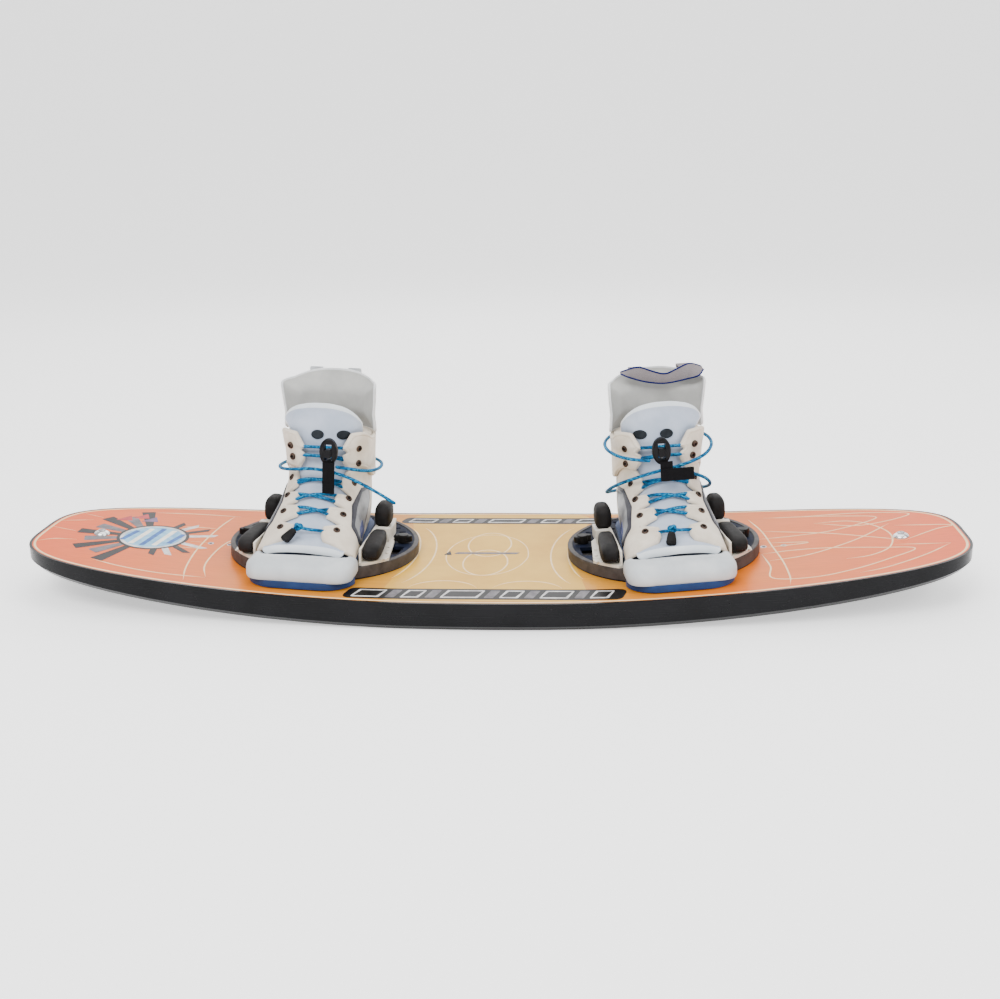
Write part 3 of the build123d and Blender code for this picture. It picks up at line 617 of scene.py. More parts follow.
class Finish:
    """One Principled material with procedural colour and relief. Sizes are in millimetres."""

    def __init__(self, name, roughness, metallic=0.0, specular=0.5):
        self.material = bpy.data.materials.new(name)
        self.material.use_nodes = True
        self.nodes, self.links = self.material.node_tree.nodes, self.material.node_tree.links
        self.shader = self.nodes["Principled BSDF"]
        self.shader.inputs["Roughness"].default_value = roughness
        self.shader.inputs["Metallic"].default_value = metallic
        self.shader.inputs["Specular IOR Level"].default_value = specular
        self.coordinates = self.nodes.new("ShaderNodeTexCoord")
        self.relief = None

    def node(self, kind, **settings):
        made = self.nodes.new("ShaderNode" + kind)
        for key, value in settings.items():
            setattr(made, key, value)
        return made

    def join(self, value, socket):
        """Feeds a socket from another node's output, or sets it to a constant."""
        if isinstance(value, (int, float, tuple)):
            socket.default_value = value
        else:
            self.links.new(value, socket)

    def noise(self, size, detail=3.0, stretch=(1, 1, 1), roughness=0.55):
        """Noise value with features of a size; stretch lengthens them along an axis."""
        mapping = self.node("Mapping")
        mapping.inputs["Scale"].default_value = tuple(1 / (size * MM * s) for s in stretch)
        self.join(self.coordinates.outputs["Object"], mapping.inputs["Vector"])
        texture = self.node("TexNoise")
        texture.inputs["Scale"].default_value = 1.0
        texture.inputs["Detail"].default_value = detail
        texture.inputs["Roughness"].default_value = roughness
        self.join(mapping.outputs["Vector"], texture.inputs["Vector"])
        return texture.outputs["Fac"]

    def cells(self, size, feature="F1"):
        """Voronoi distance with cells of a size."""
        texture = self.node("TexVoronoi", feature=feature)
        texture.inputs["Scale"].default_value = 1 / (size * MM)
        self.join(self.coordinates.outputs["Object"], texture.inputs["Vector"])
        return texture.outputs["Distance"]

    def math(self, operation, first, second=0.0, third=None):
        made = self.node("Math", operation=operation)
        for k, value in enumerate((first, second) if third is None else (first, second, third)):
            self.join(value, made.inputs[k])
        return made.outputs[0]

    def ramp(self, value, stops):
        """Colour ramp over (position, colour) stops."""
        made = self.node("ValToRGB")
        elements = made.color_ramp.elements
        while len(elements) < len(stops):
            elements.new(0.5)
        for element, (place, colour) in zip(elements, stops):
            element.position = place
            element.color = colour
        self.join(value, made.inputs["Fac"])
        return made.outputs["Color"]

    def mix(self, share, first, second, blend="MIX"):
        made = self.node("Mix", data_type="RGBA", blend_type=blend)
        one, two = [socket for socket in made.inputs if socket.type == "RGBA"]
        for value, socket in ((share, made.inputs["Factor"]), (first, one), (second, two)):
            self.join(value, socket)
        return [socket for socket in made.outputs if socket.type == "RGBA"][0]

    def colour(self, value):
        self.join(value, self.shader.inputs["Base Color"])

    def tint(self, light, dark, size=30, detail=4.0):
        """Base colour that drifts between two tones."""
        self.colour(self.ramp(self.noise(size, detail), [(0.35, dark), (0.65, light)]))

    def rough(self, low, high, size):
        """Roughness that varies between two values."""
        value = self.math("MULTIPLY_ADD", self.noise(size, 4.0), high - low, low)
        self.join(value, self.shader.inputs["Roughness"])

    def bump(self, height, depth, strength=1.0):
        """Relief of a depth in millimetres, over any relief made before."""
        made = self.node("Bump")
        made.inputs["Distance"].default_value = depth * MM
        made.inputs["Strength"].default_value = strength
        self.join(height, made.inputs["Height"])
        if self.relief is not None:
            self.join(self.relief, made.inputs["Normal"])
        self.relief = made.outputs["Normal"]
        self.join(self.relief, self.shader.inputs["Normal"])

    def coat(self, weight, roughness):
        self.shader.inputs["Coat Weight"].default_value = weight
        self.shader.inputs["Coat Roughness"].default_value = roughness

    def sheen(self, weight, roughness=0.5):
        self.shader.inputs["Sheen Weight"].default_value = weight
        self.shader.inputs["Sheen Roughness"].default_value = roughness


def foam(name, light, dark, grain=0.9):
    """Moulded EVA foam: fine pores, slight unevenness and a soft sheen."""
    made = Finish(name, 0.62, specular=0.35)
    made.tint(light, dark, 38)
    made.rough(0.55, 0.72, 12)
    made.bump(made.noise(14, 2.0), 0.5, 0.5)
    made.bump(made.cells(grain), 0.05, 0.7)
    made.sheen(0.15)
    return made.material


def leather(name, light, dark):
    """Soft synthetic leather over foam: pebbled grain with finer pores between."""
    made = Finish(name, 0.5, specular=0.4)
    made.tint(light, dark, 26)
    made.rough(0.42, 0.6, 8)
    made.bump(made.noise(20, 2.0), 0.7, 0.5)
    made.bump(made.cells(1.3, "SMOOTH_F1"), 0.12, 0.6)
    made.bump(made.noise(0.5, 2.0), 0.04, 0.5)
    made.sheen(0.1)
    return made.material


DARK_TONE, DARK_SPECULAR, PALE_SPECULAR = 0.1, 0.12, 0.4


def moulded(name, light, dark, roughness=0.4, grain=0.6, depth=0.03, coat=0.0):
    """Moulded plastic or rubber with a fine spark-eroded texture; dark ones reflect less."""
    specular = DARK_SPECULAR if max(light[:3]) < DARK_TONE else PALE_SPECULAR
    made = Finish(name, roughness, specular=specular)
    made.tint(light, dark, 20)
    made.rough(roughness - 0.08, roughness + 0.1, 9)
    made.bump(made.noise(grain, 2.0), depth, 0.6)
    made.coat(coat, 0.2)
    return made.material


def metal(name, light, dark, roughness=0.3):
    made = Finish(name, roughness, metallic=1.0)
    made.tint(light, dark, 6)
    made.rough(roughness - 0.08, roughness + 0.15, 2)
    made.bump(made.noise(1.2, 3.0, (1, 8, 8)), 0.02, 0.4)
    return made.material


def webbing(name, light, dark, across="X", pitch=1.6):
    """Woven band: ribs across it, each broken into stitches."""
    made = Finish(name, 0.8, specular=0.08)
    wave = made.node("TexWave", wave_type="BANDS", bands_direction=across)
    wave.inputs["Scale"].default_value = 1 / (pitch * MM) / 3.2
    wave.inputs["Distortion"].default_value = 0.6
    wave.inputs["Detail"].default_value = 1.0
    made.join(made.coordinates.outputs["Object"], wave.inputs["Vector"])
    ribs = wave.outputs["Fac"]
    stitches = made.math("MULTIPLY", ribs, made.noise(0.9, 2.0))
    made.colour(made.ramp(stitches, [(0.1, dark), (0.5, light)]))
    made.bump(ribs, 0.25, 0.8)
    made.bump(made.noise(0.5, 2.0), 0.08, 0.6)
    return made.material


def braid(name, light, middle, dark, length=8.5):
    """Round braid: each diamond of the weave takes its own tone. UV holds (mm along, turn round)."""
    made = Finish(name, 0.6, specular=0.15)
    split = made.node("SeparateXYZ")
    made.join(made.coordinates.outputs["UV"], split.inputs[0])
    along, around = split.outputs["X"], split.outputs["Y"]
    spins = made.math("MULTIPLY", around, 8.0)
    steps = made.math("MULTIPLY", along, 2 / length)
    one = made.math("FLOOR", made.math("ADD", spins, steps))
    two = made.math("FLOOR", made.math("SUBTRACT", spins, steps))
    cell = made.node("CombineXYZ")
    made.join(one, cell.inputs["X"])
    made.join(two, cell.inputs["Y"])
    chance = made.node("TexWhiteNoise", noise_dimensions="3D")
    made.join(cell.outputs["Vector"], chance.inputs["Vector"])
    tones = made.ramp(chance.outputs["Value"], [(0.0, dark), (0.22, dark), (0.3, middle),
                                                (0.72, middle), (0.8, light), (1.0, light)])
    made.colour(made.mix(0.25, tones, made.ramp(made.noise(0.6, 2.0), [(0.3, dark), (0.7, light)])))
    made.bump(made.noise(0.35, 2.0, (1, 1, 1)), 0.08, 0.6)
    return made.material


GOLD, AMBER, ORANGE, CORAL = [linear(*tone) for tone in (
    (206, 150, 56), (212, 138, 40), (220, 108, 22), (228, 88, 22))]


def deck_print():
    """Glossy printed sheet: coral at the tips to golden tan in the middle, with faint brush streaks."""
    made = Finish("deck_print", 0.32, specular=0.08)
    split = made.node("SeparateXYZ")
    made.join(made.coordinates.outputs["Object"], split.inputs[0])
    reach = made.math("DIVIDE", made.math("ABSOLUTE", split.outputs["X"]), BOARD_LENGTH / 2 * MM)
    drift = made.math("MULTIPLY_ADD", made.noise(220, 2.0), 0.16, -0.08)
    place = made.math("ADD", reach, drift)
    base = made.ramp(place, [(0.0, GOLD), (0.17, GOLD), (0.33, AMBER), (0.58, ORANGE),
                             (1.0, CORAL)])
    streaks = made.noise(3.2, 3.0, (40, 1, 1))
    shade = made.ramp(streaks, [(0.3, (0.86, 0.84, 0.80, 1)), (0.7, (1.0, 1.0, 1.0, 1))])
    # warmer towards both long edges
    edge = made.math("DIVIDE", made.math("ABSOLUTE", split.outputs["Y"]), BOARD_WIDTH / 2 * MM)
    warm = made.ramp(edge, [(0.62, (1, 1, 1, 1)), (0.98, (0.97, 0.82, 0.66, 1))])
    made.colour(made.mix(1.0, made.mix(1.0, base, shade, "MULTIPLY"), warm, "MULTIPLY"))
    made.rough(0.28, 0.4, 60)
    made.coat(0.05, 0.06)
    made.bump(made.noise(90, 1.0), 0.35, 0.25)
    return made.material


def printed(name, light, dark, size=12):
    """Ink under the deck's clear coat."""
    made = Finish(name, 0.34, specular=0.08)
    made.tint(light, dark, size)
    made.coat(0.05, 0.06)
    made.bump(made.noise(90, 1.0), 0.35, 0.25)
    return made.material


def rail_gloss():
    """Black rail and base: polished, with a few long hairline scuffs."""
    made = Finish("rail_gloss", 0.22, specular=0.1)
    made.tint(linear(14, 14, 17), linear(6, 6, 8), 70)
    scuffs = made.noise(1.4, 2.0, (60, 4, 1))
    made.join(made.ramp(scuffs, [(0.55, (0.2, 0.2, 0.2, 1)), (0.75, (0.42, 0.42, 0.42, 1))]),
              made.shader.inputs["Roughness"])
    made.coat(0.06, 0.08)
    made.bump(made.noise(45, 2.0), 0.4, 0.3)
    made.bump(scuffs, 0.02, 0.5)
    return made.material


LOOKS = {"deck": deck_print(), "rail": rail_gloss()}
for kind, name, *settings in (
    (printed, "pinline", (240, 214, 168), (228, 196, 146)),
    (printed, "ink_black", (20, 19, 20), (9, 8, 10)),
    (printed, "ink_silver", (216, 214, 212), (176, 172, 172)),
    (printed, "ink_grey", (112, 108, 112), (80, 76, 82)),
    (printed, "ink_blue", (40, 104, 178), (18, 66, 138)),
    (printed, "ink_sky", (140, 190, 216), (96, 154, 194)),
    (printed, "ink_cream", (244, 238, 224), (222, 214, 200)),
    (printed, "ink_red", (190, 52, 56), (160, 34, 42)),
    (printed, "ink_purple", (122, 92, 128), (96, 70, 106)),
    (printed, "gold_panel", (216, 170, 66), (206, 156, 54), 60),
    (metal, "steel", (190, 190, 192), (150, 150, 154)),
    (metal, "chrome", (232, 232, 232), (206, 206, 208), 0.2),
    (metal, "bronze", (92, 78, 70), (52, 42, 38), 0.4),
    # painted shade: a dark disc closes each eyelet's hole in place of its shadowed opening
    (moulded, "dark_hole", (16, 15, 15), (10, 9, 9), 0.7),
    (moulded, "fin", (24, 24, 26), (14, 14, 16), 0.3, 0.6, 0.03, 0.2),
    (moulded, "gasket", (30, 30, 34), (18, 18, 21), 0.6),
    (moulded, "rim", (78, 74, 73), (58, 55, 55), 0.5, 0.8, 0.05),
    (moulded, "plate", (20, 28, 50), (10, 15, 30), 0.68, 0.7, 0.04),
    (moulded, "seam", (24, 24, 28), (14, 14, 17), 0.5),
    (moulded, "knob", (20, 19, 19), (11, 10, 10), 0.45, 0.7, 0.05),
    (foam, "sole", (8, 58, 116), (4, 42, 90)),
    (foam, "toe", (200, 204, 206), (184, 189, 193)),
    (moulded, "frame", (218, 211, 198), (200, 192, 178), 0.42, 0.8, 0.03, 0.05),
    (moulded, "bumper", (34, 32, 32), (20, 19, 19), 0.6, 0.5, 0.04),
    (leather, "overlay", (222, 211, 195), (204, 192, 174)),
    (foam, "tongue", (184, 194, 210), (166, 178, 197)),
    # painted highlight: a lighter copy of the tongue foam for its bevelled rim
    (foam, "tongue_rim", (218, 224, 228), (204, 211, 217)),
    (foam, "panel", (184, 184, 180), (168, 168, 165)),
    # painted highlight: a lighter copy of the panel foam for its rounded rim
    (foam, "panel_rim", (226, 228, 228), (212, 214, 215)),
    (moulded, "vent", (42, 47, 52), (26, 30, 34), 0.6, 1.2, 0.15),
    (moulded, "badge", (64, 64, 70), (42, 42, 50), 0.4, 0.5, 0.03, 0.1),
    (moulded, "badge_light", (126, 127, 128), (98, 99, 103), 0.4, 0.5, 0.03, 0.1),
    (moulded, "badge_blue", (30, 46, 104), (16, 28, 76), 0.4, 0.5, 0.02, 0.1),
    (braid, "lace", (30, 138, 180), (0, 82, 134), (0, 26, 54)),
    (moulded, "lock", (20, 19, 21), (10, 9, 11), 0.4, 0.6, 0.04),
    (webbing, "tab", (24, 23, 26), (7, 7, 8)),
    (moulded, "end_rubber", (22, 21, 22), (12, 11, 12), 0.5, 0.6, 0.05),
    (webbing, "strap", (150, 143, 144), (108, 102, 105)),
    (webbing, "piping", (24, 36, 104), (10, 18, 66), "X", 1.2),
    (webbing, "pale_strap", (206, 208, 210), (176, 179, 182)),
):
    LOOKS[name] = kind(name, *[linear(*v) if isinstance(v, tuple) else v for v in settings])


def finish_node(node, look):
    """Gives a CAD node its material."""
    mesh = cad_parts[node].data
    mesh.materials.clear()
    mesh.materials.append(LOOKS[look])


CAD_LOOKS = {
    "board_hull": "rail", "threaded_inserts": "steel", "left_fin": "fin", "right_fin": "fin",
    "fin_bolts": "steel", "frame_rivets": "frame", "lock_springs": "steel",
}
SIDE_LOOKS = {
    "gasket": "gasket", "disc_rim": "rim", "disc_plate": "plate", "outer_knob": "knob",
    "inner_knob": "knob", "outer_stud": "steel", "inner_stud": "steel",
    "outer_side_frame": "frame", "inner_side_frame": "frame", "pull_tab": "tab",
    "footbed": "sole", "lock_body": "lock", "lock_button": "lock",
}
for node, look in CAD_LOOKS.items():
    finish_node(node, look)
for side in SIDES:
    for part, look in SIDE_LOOKS.items():
        finish_node(f"{side}_{part}", look)


# ---------------------------------------------------------------- deck sheet and its print
BOARD = Matrix.Scale(MM, 4)


def board_outline(inset, step):
    """Closed outline of the board in from its edge, with points about a step apart."""
    a, b = BOARD_LENGTH / 2 - inset, BOARD_WIDTH / 2 - inset
    turn = circle(4000)
    x = a * np.sign(np.cos(turn)) * np.abs(np.cos(turn)) ** (2 / OUTLINE_LONG_POWER)
    y = b * np.sign(np.sin(turn)) * np.abs(np.sin(turn)) ** (2 / OUTLINE_WIDE_POWER)
    raw = np.stack([x, y], -1)
    closed = np.concatenate([raw, raw[:1]])
    run = run_along(closed)
    return picked(closed, run, np.arange(0, run[-1], step))


def on_deck(points):
    """Lifts (x, y, height over the deck) points onto the curved deck."""
    points = np.asarray(points, float)
    return np.column_stack([points[:, 0], points[:, 1], deck_height(points[:, 0]) + points[:, 2]])


def hole_at(x, radius):
    """Round hole on the board's long middle line."""
    turn = circle(20)
    return np.stack([x + radius * np.cos(turn), radius * np.sin(turn)], -1)


def make_deck():
    holes = [hole_at(sign * place, INSERT_HOLE) for sign in (-1, 1) for place in INSERT_PLACES]
    holes += [hole_at(sign * FIN_PLACE, FIN_HOLE) for sign in (-1, 1)]
    points, faces, _ = pad_mesh(board_outline(TOPSHEET_INSET, 7), lambda a, b, d: 0 * a,
                                [(-TOPSHEET_THICKNESS, 0.0)], [], 11, holes)
    make_piece("deck_skin", on_deck(points), faces, BOARD, "board",
               LOOKS["deck"], ["topsheet"])


def curve_through(points, step=5.0, closed=False):
    """Smooth curve through flat points, evenly a step apart."""
    points = np.asarray(points, float)
    if closed:
        padded = np.concatenate([points[-1:], points, points[:2]])
    else:
        padded = np.concatenate([[2 * points[0] - points[1]], points, [2 * points[-1] - points[-2]]])
    fine = []
    for p0, p1, p2, p3 in zip(padded, padded[1:], padded[2:], padded[3:]):
        for t in np.linspace(0, 1, 24, endpoint=False):
            fine.append(0.5 * (2 * p1 + (p2 - p0) * t + (2 * p0 - 5 * p1 + 4 * p2 - p3) * t**2
                               + (3 * p1 - p0 - 3 * p2 + p3) * t**3))
    fine = np.array(fine + ([fine[0]] if closed else [points[-1]]))
    run = run_along(fine)
    return picked(fine, run, np.linspace(0, run[-1], max(3, int(run[-1] / step)) + 1))


INK_FOOT = -0.3              # how far below the deck's surface the printed shapes reach


def ribbon(line, width, lift, closed=False, pointed=False):
    """Flat band along a curve on the deck, as a thin closed solid."""
    line = np.asarray(line, float)
    if closed:
        line = line[:-1]
        tangent = np.roll(line, -1, axis=0) - np.roll(line, 1, axis=0)
    else:
        tangent = np.gradient(line, axis=0)
    tangent /= np.linalg.norm(tangent, axis=1)[:, None]
    normal = np.stack([-tangent[:, 1], tangent[:, 0]], -1)
    half = np.full(len(line), width / 2)
    if pointed:
        from_start = np.arange(len(line))
        half *= np.clip(np.minimum(from_start, from_start[::-1]) / 6, 0.08, 1)
    left, right = line + normal * half[:, None], line - normal * half[:, None]
    rows = []
    for side, height in ((left, lift), (right, lift), (right, INK_FOOT), (left, INK_FOOT)):
        rows.append(np.column_stack([side, np.full(len(line), height)]))
    points = np.stack(rows, 1).reshape(-1, 3)
    faces = []
    count = len(line)
    for k in range(count if closed else count - 1):
        n = (k + 1) % count
        for j in range(4):
            i = (j + 1) % 4
            faces.append((k * 4 + j, k * 4 + i, n * 4 + i, n * 4 + j))
    if not closed:
        faces += [(0, 1, 2, 3), tuple((count - 1) * 4 + j for j in (3, 2, 1, 0))]
    return on_deck(points), faces


def panel(corners, lift, pitch=16):
    """Flat shape on the deck from (x, y, radius) corners, as a thin closed solid."""
    points, faces, _ = pad_mesh(rounded(corners, 3.0), lambda a, b, d: 0 * a + lift,
                                [(INK_FOOT, 0.0)], [], pitch)
    return on_deck(points), faces


def ellipse(x, y, half_x, half_y):
    return [(x + half_x * cos(t), y + half_y * sin(t), 0) for t in circle(48)]


def arc(x, y, radius_x, radius_y, first, last, count=24):
    """Points of an elliptical arc between two angles in degrees."""
    return [(x + radius_x * cos(radians(t)), y + radius_y * sin(radians(t)))
            for t in np.linspace(first, last, count)]


def slanted_row(x0, x1, y0, y1, widths, gap, slant):
    """Row of slanted blocks, a plain pattern without letters."""
    unit = (x1 - x0 - gap * (len(widths) - 1)) / sum(widths)
    shapes, x = [], x0
    for width in widths:
        end = x + width * unit
        shapes.append([(x, y0, 2), (end, y0, 2), (end + slant, y1, 2), (x + slant, y1, 2)])
        x = end + gap
    return shapes


def spoke(x, turn, corners):
    """Flat shape on the deck with (along, across, radius) corners on a ray from the left oval."""
    way = np.array([cos(radians(turn)), 1.15 * sin(radians(turn))])
    side = np.array([-sin(radians(turn)), cos(radians(turn))])
    centre = np.array([x, 6.0])
    return panel([(*(centre + way * along + side * across), radius)
                  for along, across, radius in corners], 0.2)


def make_print():
    """Pinlines and plain coloured shapes of the deck's graphic."""
    layers = {}

    def put(ink, shape):
        layers.setdefault(ink, []).append(shape)

    def line(points, width=2.2, pointed=True):
        put("pinline", ribbon(curve_through(points), width, 0.22, pointed=pointed))

    edge = board_outline(7.5, 6)
    put("pinline", ribbon(np.concatenate([edge, edge[:1]]), 3.4, 0.14, closed=True))
    # golden field between the bindings
    put("gold_panel", panel([(-150, -204, 30), (150, -204, 30), (118, 0, 220),
                             (150, 204, 30), (-150, 204, 30), (-118, 0, 220)], 0.07, 14))
    # middle: two rings one over the other, a small bar between them, and arcs towards the bindings
    for y, radius_x, radius_y, width, lift in ((46, 33, 58, 2.2, 0.22), (-40, 33, 58, 2.2, 0.22),
                                               (-2, 62, 96, 1.6, 0.2)):
        ring = curve_through(arc(-8, y, radius_x, radius_y, 0, 345, 16), closed=True)
        put("pinline", ribbon(ring, width, lift, closed=True))
    for sign in (-1, 1):
        line(arc(sign * 150, 0, 62, 150, 90 + sign * 90 - 62, 90 + sign * 90 + 62))
        line(arc(sign * 176, 6, 62, 150, 90 + sign * 90 - 52, 90 + sign * 90 + 52))
        line(arc(sign * 60, -166, 52, 44, 20, 160))
    put("ink_grey", panel([(-60, -1, 2), (36, -1, 2), (42, 7, 2), (-54, 7, 2)], 0.3))
    put("ink_black", panel([(-74, -6, 1), (-62, -6, 1), (-66, 14, 1)], 0.3))
    # plain block bands along both long edges
    for y0, y1, x0, x1, slant in ((-198, -156, -192, 188, 9), (154, 186, -160, 236, 8)):
        outer = [(x0 - 6, y0, 14), (x1 + 4, y0, 14), (x1 + 14, y1, 14), (x0 + 4, y1, 14)]
        put("ink_black", panel(outer, 0.2, 14))
        widths = (3, 1, 2, 1, 4, 1, 2, 1, 3, 1, 2)
        blocks = slanted_row(x0 + 8, x1 - 14, y0 + 6, y1 - 6, widths, 8, slant)
        for k, shape in enumerate(blocks):
            put("ink_grey" if k % 2 else "ink_silver", panel(shape, 0.32, 14))
            if k % 2 == 0:
                inner = [(x + (3.5 if i in (0, 3) else -3.5), y + (4 if i < 2 else -4), 1)
                         for i, (x, y, _) in enumerate(shape)]
                put("ink_black", panel(inner, 0.44, 14))
    # left end: a striped oval on a fan of bars, with lines that open towards the binding
    for k in range(9):
        far = 96 if k % 2 else 112
        put("ink_grey" if k % 2 else "ink_black",
            spoke(-530, 112 + 17 * k, [(44, -5, 1), (far, -11, 2), (far, 11, 2), (44, 5, 1)]))
    for sign in (-1, 1):
        for k in range(4):
            far = 84 - 6 * k
            put("ink_black" if k % 2 else "ink_silver",
                spoke(-520, sign * (18 + 19 * k),
                      [(46, -5, 1), (far, -7, 2), (far + 8, 2, 1), (46, 5, 1)]))
    for ink, grown, lift in (("ink_black", 10, 0.26), ("ink_silver", 5, 0.32), ("ink_sky", 0, 0.38)):
        put(ink, panel(ellipse(-526, 6, 44 + grown, 48 + grown), lift))
    for k, reach in enumerate((24, 38, 42, 38, 24)):
        x, low, high = -562 + 18 * k, 6 - reach, 6 + reach
        put("ink_cream" if k % 2 else "ink_blue",
            panel([(x - 9, low, 2), (x - 1, low, 2), (x + 9, high, 2), (x + 1, high, 2)], 0.44))
    for k, (x, y) in enumerate(((-596, 84), (-574, 100), (-556, 88))):
        put("ink_red" if k < 2 else "ink_purple",
            panel([(x - 12, y - 12, 1), (x + 14, y - 8, 1), (x + 4, y + 16, 1)], 0.22))
    for points in ([(-434, 140), (-442, 83), (-446, 10), (-445, -51), (-438, -117), (-427, -166)],
                   [(-398, 40), (-412, 4), (-417, -50), (-414, -104), (-400, -148)],
                   [(-400, -150), (-470, -146), (-530, -132), (-580, -112)],
                   [(-558, 127), (-492, 138), (-424, 141)],
                   [(-684, -60), (-662, -42), (-630, -36)], [(-688, 13), (-646, 2)],
                   [(-684, 44), (-640, 62)], [(-662, 88), (-630, 78)]):
        line(points)
    for x0, x1, y in ((-438, -500, 70), (-438, -470, 24), (-438, -466, 0), (-438, -480, -30)):
        line([(x0, y), ((x0 + x1) / 2, y + 1.5), (x1, y)])
    # right end: bowed lines that cross between two rings of arcs
    for points in ([(396, 140), (410, 74), (417, 2), (424, -72), (425, -139), (421, -170)],
                   [(398, -34), (404, -90), (402, -140), (458, -146), (518, -124), (570, -92),
                    (612, -58), (566, -42), (494, -26), (440, -26), (398, -34)],
                   [(406, -66), (459, -52), (508, -22), (550, 12), (600, 66)],
                   [(402, 36), (460, 42), (520, 56), (588, 100), (540, 122), (480, 134), (420, 141)],
                   [(492, 96), (544, 94), (576, 64), (592, 14), (580, -42), (548, -72), (512, -80)],
                   [(494, 94), (560, 68), (638, 104), (572, 130), (480, 136)],
                   [(606, -18), (658, 20), (684, 34), (606, 54)],
                   [(412, 74), (500, 44), (558, 12), (606, -18)],
                   [(664, -48), (620, -88), (562, -126), (520, -142)],
                   [(664, -48), (628, -42), (588, -34)], [(404, -6), (472, 6), (413, 16)]):
        line(points)
    for ink, shapes in layers.items():
        points, faces = joined(shapes)
        make_piece("print_" + ink, points, faces, BOARD, "board", LOOKS[ink], crease=20)


make_deck()
make_print()


# ---------------------------------------------------------------- soft layers of the boot
RINGS = [0.7, 1.6, 2.8, 4.0, 5.0, 6.0]


CHANNEL_WIDTH, CHANNEL_DEPTH = 0.75, 0.9


def fitted(pattern, outline, low, high, radius, pitch=4.0, share=0.35, channel=None,
           under=None, relief=None):
    """Pad over the foot form between two offsets: points, faces and each point's edge distance."""
    edge = soft_edge(low, high, radius, share)

    def top(a, b, d):
        height = edge(a, b, d)
        if channel:
            height = height + groove(d, channel, CHANNEL_WIDTH, CHANNEL_DEPTH)
        return height + relief(a, b, d) if relief else height

    start = low + share * (high - low)
    wall = [(low + 0.7 * (start - low), 0.0), (low + 0.25 * (start - low), 0.15), (low, 0.7)]
    points, faces, near = pad_mesh(outline, top, wall, RINGS, pitch, (), under)
    return pattern.surface(*points.T), faces, near


def side_flat(y, z, hand, pattern=FRONT):
    """Flat coordinates of a point given in the side view."""
    station, angle = side_spot(y, z, UPPER, hand)
    if pattern is BACK and angle < 0:
        angle += 360
    return pattern.flat(station, angle)


# Overlay fingers: station along the form, angle of the tip and half its width in stations.
LACE_TIPS = [(1.96, 13, 0.21), (2.91, 14, 0.25), (3.72, 21, 0.27), (4.82, 28, 0.30)]


def overlay_outline(hand):
    """Side panel: a finger for each eyelet along the lace edge, then the ankle, heel and sole edges."""
    corners = [(*FRONT.flat(1.10, hand * 55), 10), (*FRONT.flat(1.46, hand * 17), 5)]
    last = None
    for station, angle, reach in LACE_TIPS:
        if last is not None:
            notch = (last + station - reach) / 2 + 0.02
            corners.append((*FRONT.flat(notch, hand * (angle + 23)), 2.5))
        corners.append((*FRONT.flat(station - reach, hand * angle), 3.5))
        corners.append((*FRONT.flat(station + reach, hand * angle), 3.5))
        last = station + reach
    corners.append((*FRONT.flat(5.5, hand * 30), 4))
    for y, z, radius in ((18, 123, 8), (43.5, 111, 8), (43.5, 8.6, 3), (10, 8.6, 30),
                         (-30, 8.6, 30), (-70, 8.6, 30), (-116, 8.6, 6)):
        corners.append((*side_flat(y, z, hand), radius))
    return rounded(corners, 1.5)


def cuff_heights(angle):
    """Bottom and top edge heights of the ankle cuff at an angle."""
    y = float(form_points(station_at_height(140, angle, STRAP), angle, STRAP)[1])
    low = 112 - 28 * np.clip((y - 20) / 40, 0, 1)
    return low, 165.5 - 13.5 * ease((y - 18) / 22)


def cuff_outline():
    def at(z, angle):
        return BACK.flat(station_at_height(z, angle, STRAP), angle)

    def fingers(places):
        return [(*BACK.flat(station, angle), radius) for station, angle, radius in places]

    corners = [(*at(112.5, 37), 6)]
    corners += fingers([(6.62, 27, 5), (7.38, 27, 5), (7.7, 36, 3), (8.06, 26, 5), (8.8, 27, 5)])
    corners.append((*at(165, 38), 7))
    corners += [(*at(cuff_heights(angle)[1], angle), 30) for angle in range(55, 320, 15)]
    corners.append((*at(165, 334), 6))
    corners += fingers([(8.8, 344, 5), (8.06, 345, 5), (7.7, 336, 3), (7.38, 344, 5), (6.62, 343, 5)])
    corners.append((*at(112.5, 333), 6))
    corners += [(*at(cuff_heights(angle)[0], angle), 30) for angle in range(315, 45, -15)]
    return rounded(corners, 2.0)


PANEL_EDGE = 4.2             # thickness of the calf panel at its edge
PANEL_LINING = 3.8           # offset of its inner face away from the edge
PANEL_FLARE = 34             # distance from the edge over which the inner face flares out


def panel_outline():
    """Calf panel above the cuff, flared to both sides and rounded at the top."""
    sides = [[(*side_flat(y, z, hand, BACK), radius) for y, z, radius in (
        (64, 154, 10), (66, 175, 30), (66, 205, 30), (66, 236, CALF_CORNER))] for hand in (1, -1)]
    top = [(*BACK.flat(10.93, angle), 60) for angle in range(130, 231, 20)]
    bottom = [(*BACK.flat(station_at_height(150, angle, UPPER), angle), 40)
              for angle in range(230, 129, -20)]
    return rounded(sides[0] + top + sides[1][::-1] + bottom, 2.0)


def panel_inside(a, b, d):
    """The calf panel's inner face, which flares out to a thin edge all round."""
    return PANEL_LINING + (CALF_PAD - PANEL_EDGE - PANEL_LINING) * (1 - ease(d / PANEL_FLARE))


def heel_outline():
    side = [(45, 9, 6), (45, 60, 6), (45, 104, 6), (62, 156, 10)]
    sole = [(70, 9, 20), (88, 9, 20)]

    def edge(places, hand):
        return [(*side_flat(y, z, hand, BACK), radius) for y, z, radius in places]

    top = [(*BACK.flat(station_at_height(156, angle, UPPER), angle), 30)
           for angle in range(125, 236, 22)]
    return rounded(edge(side, 1) + top + edge(side[::-1] + sole, -1)
                   + [(*BACK.flat(6.03, 180), 30)] + edge(sole[::-1], 1), 2.0)


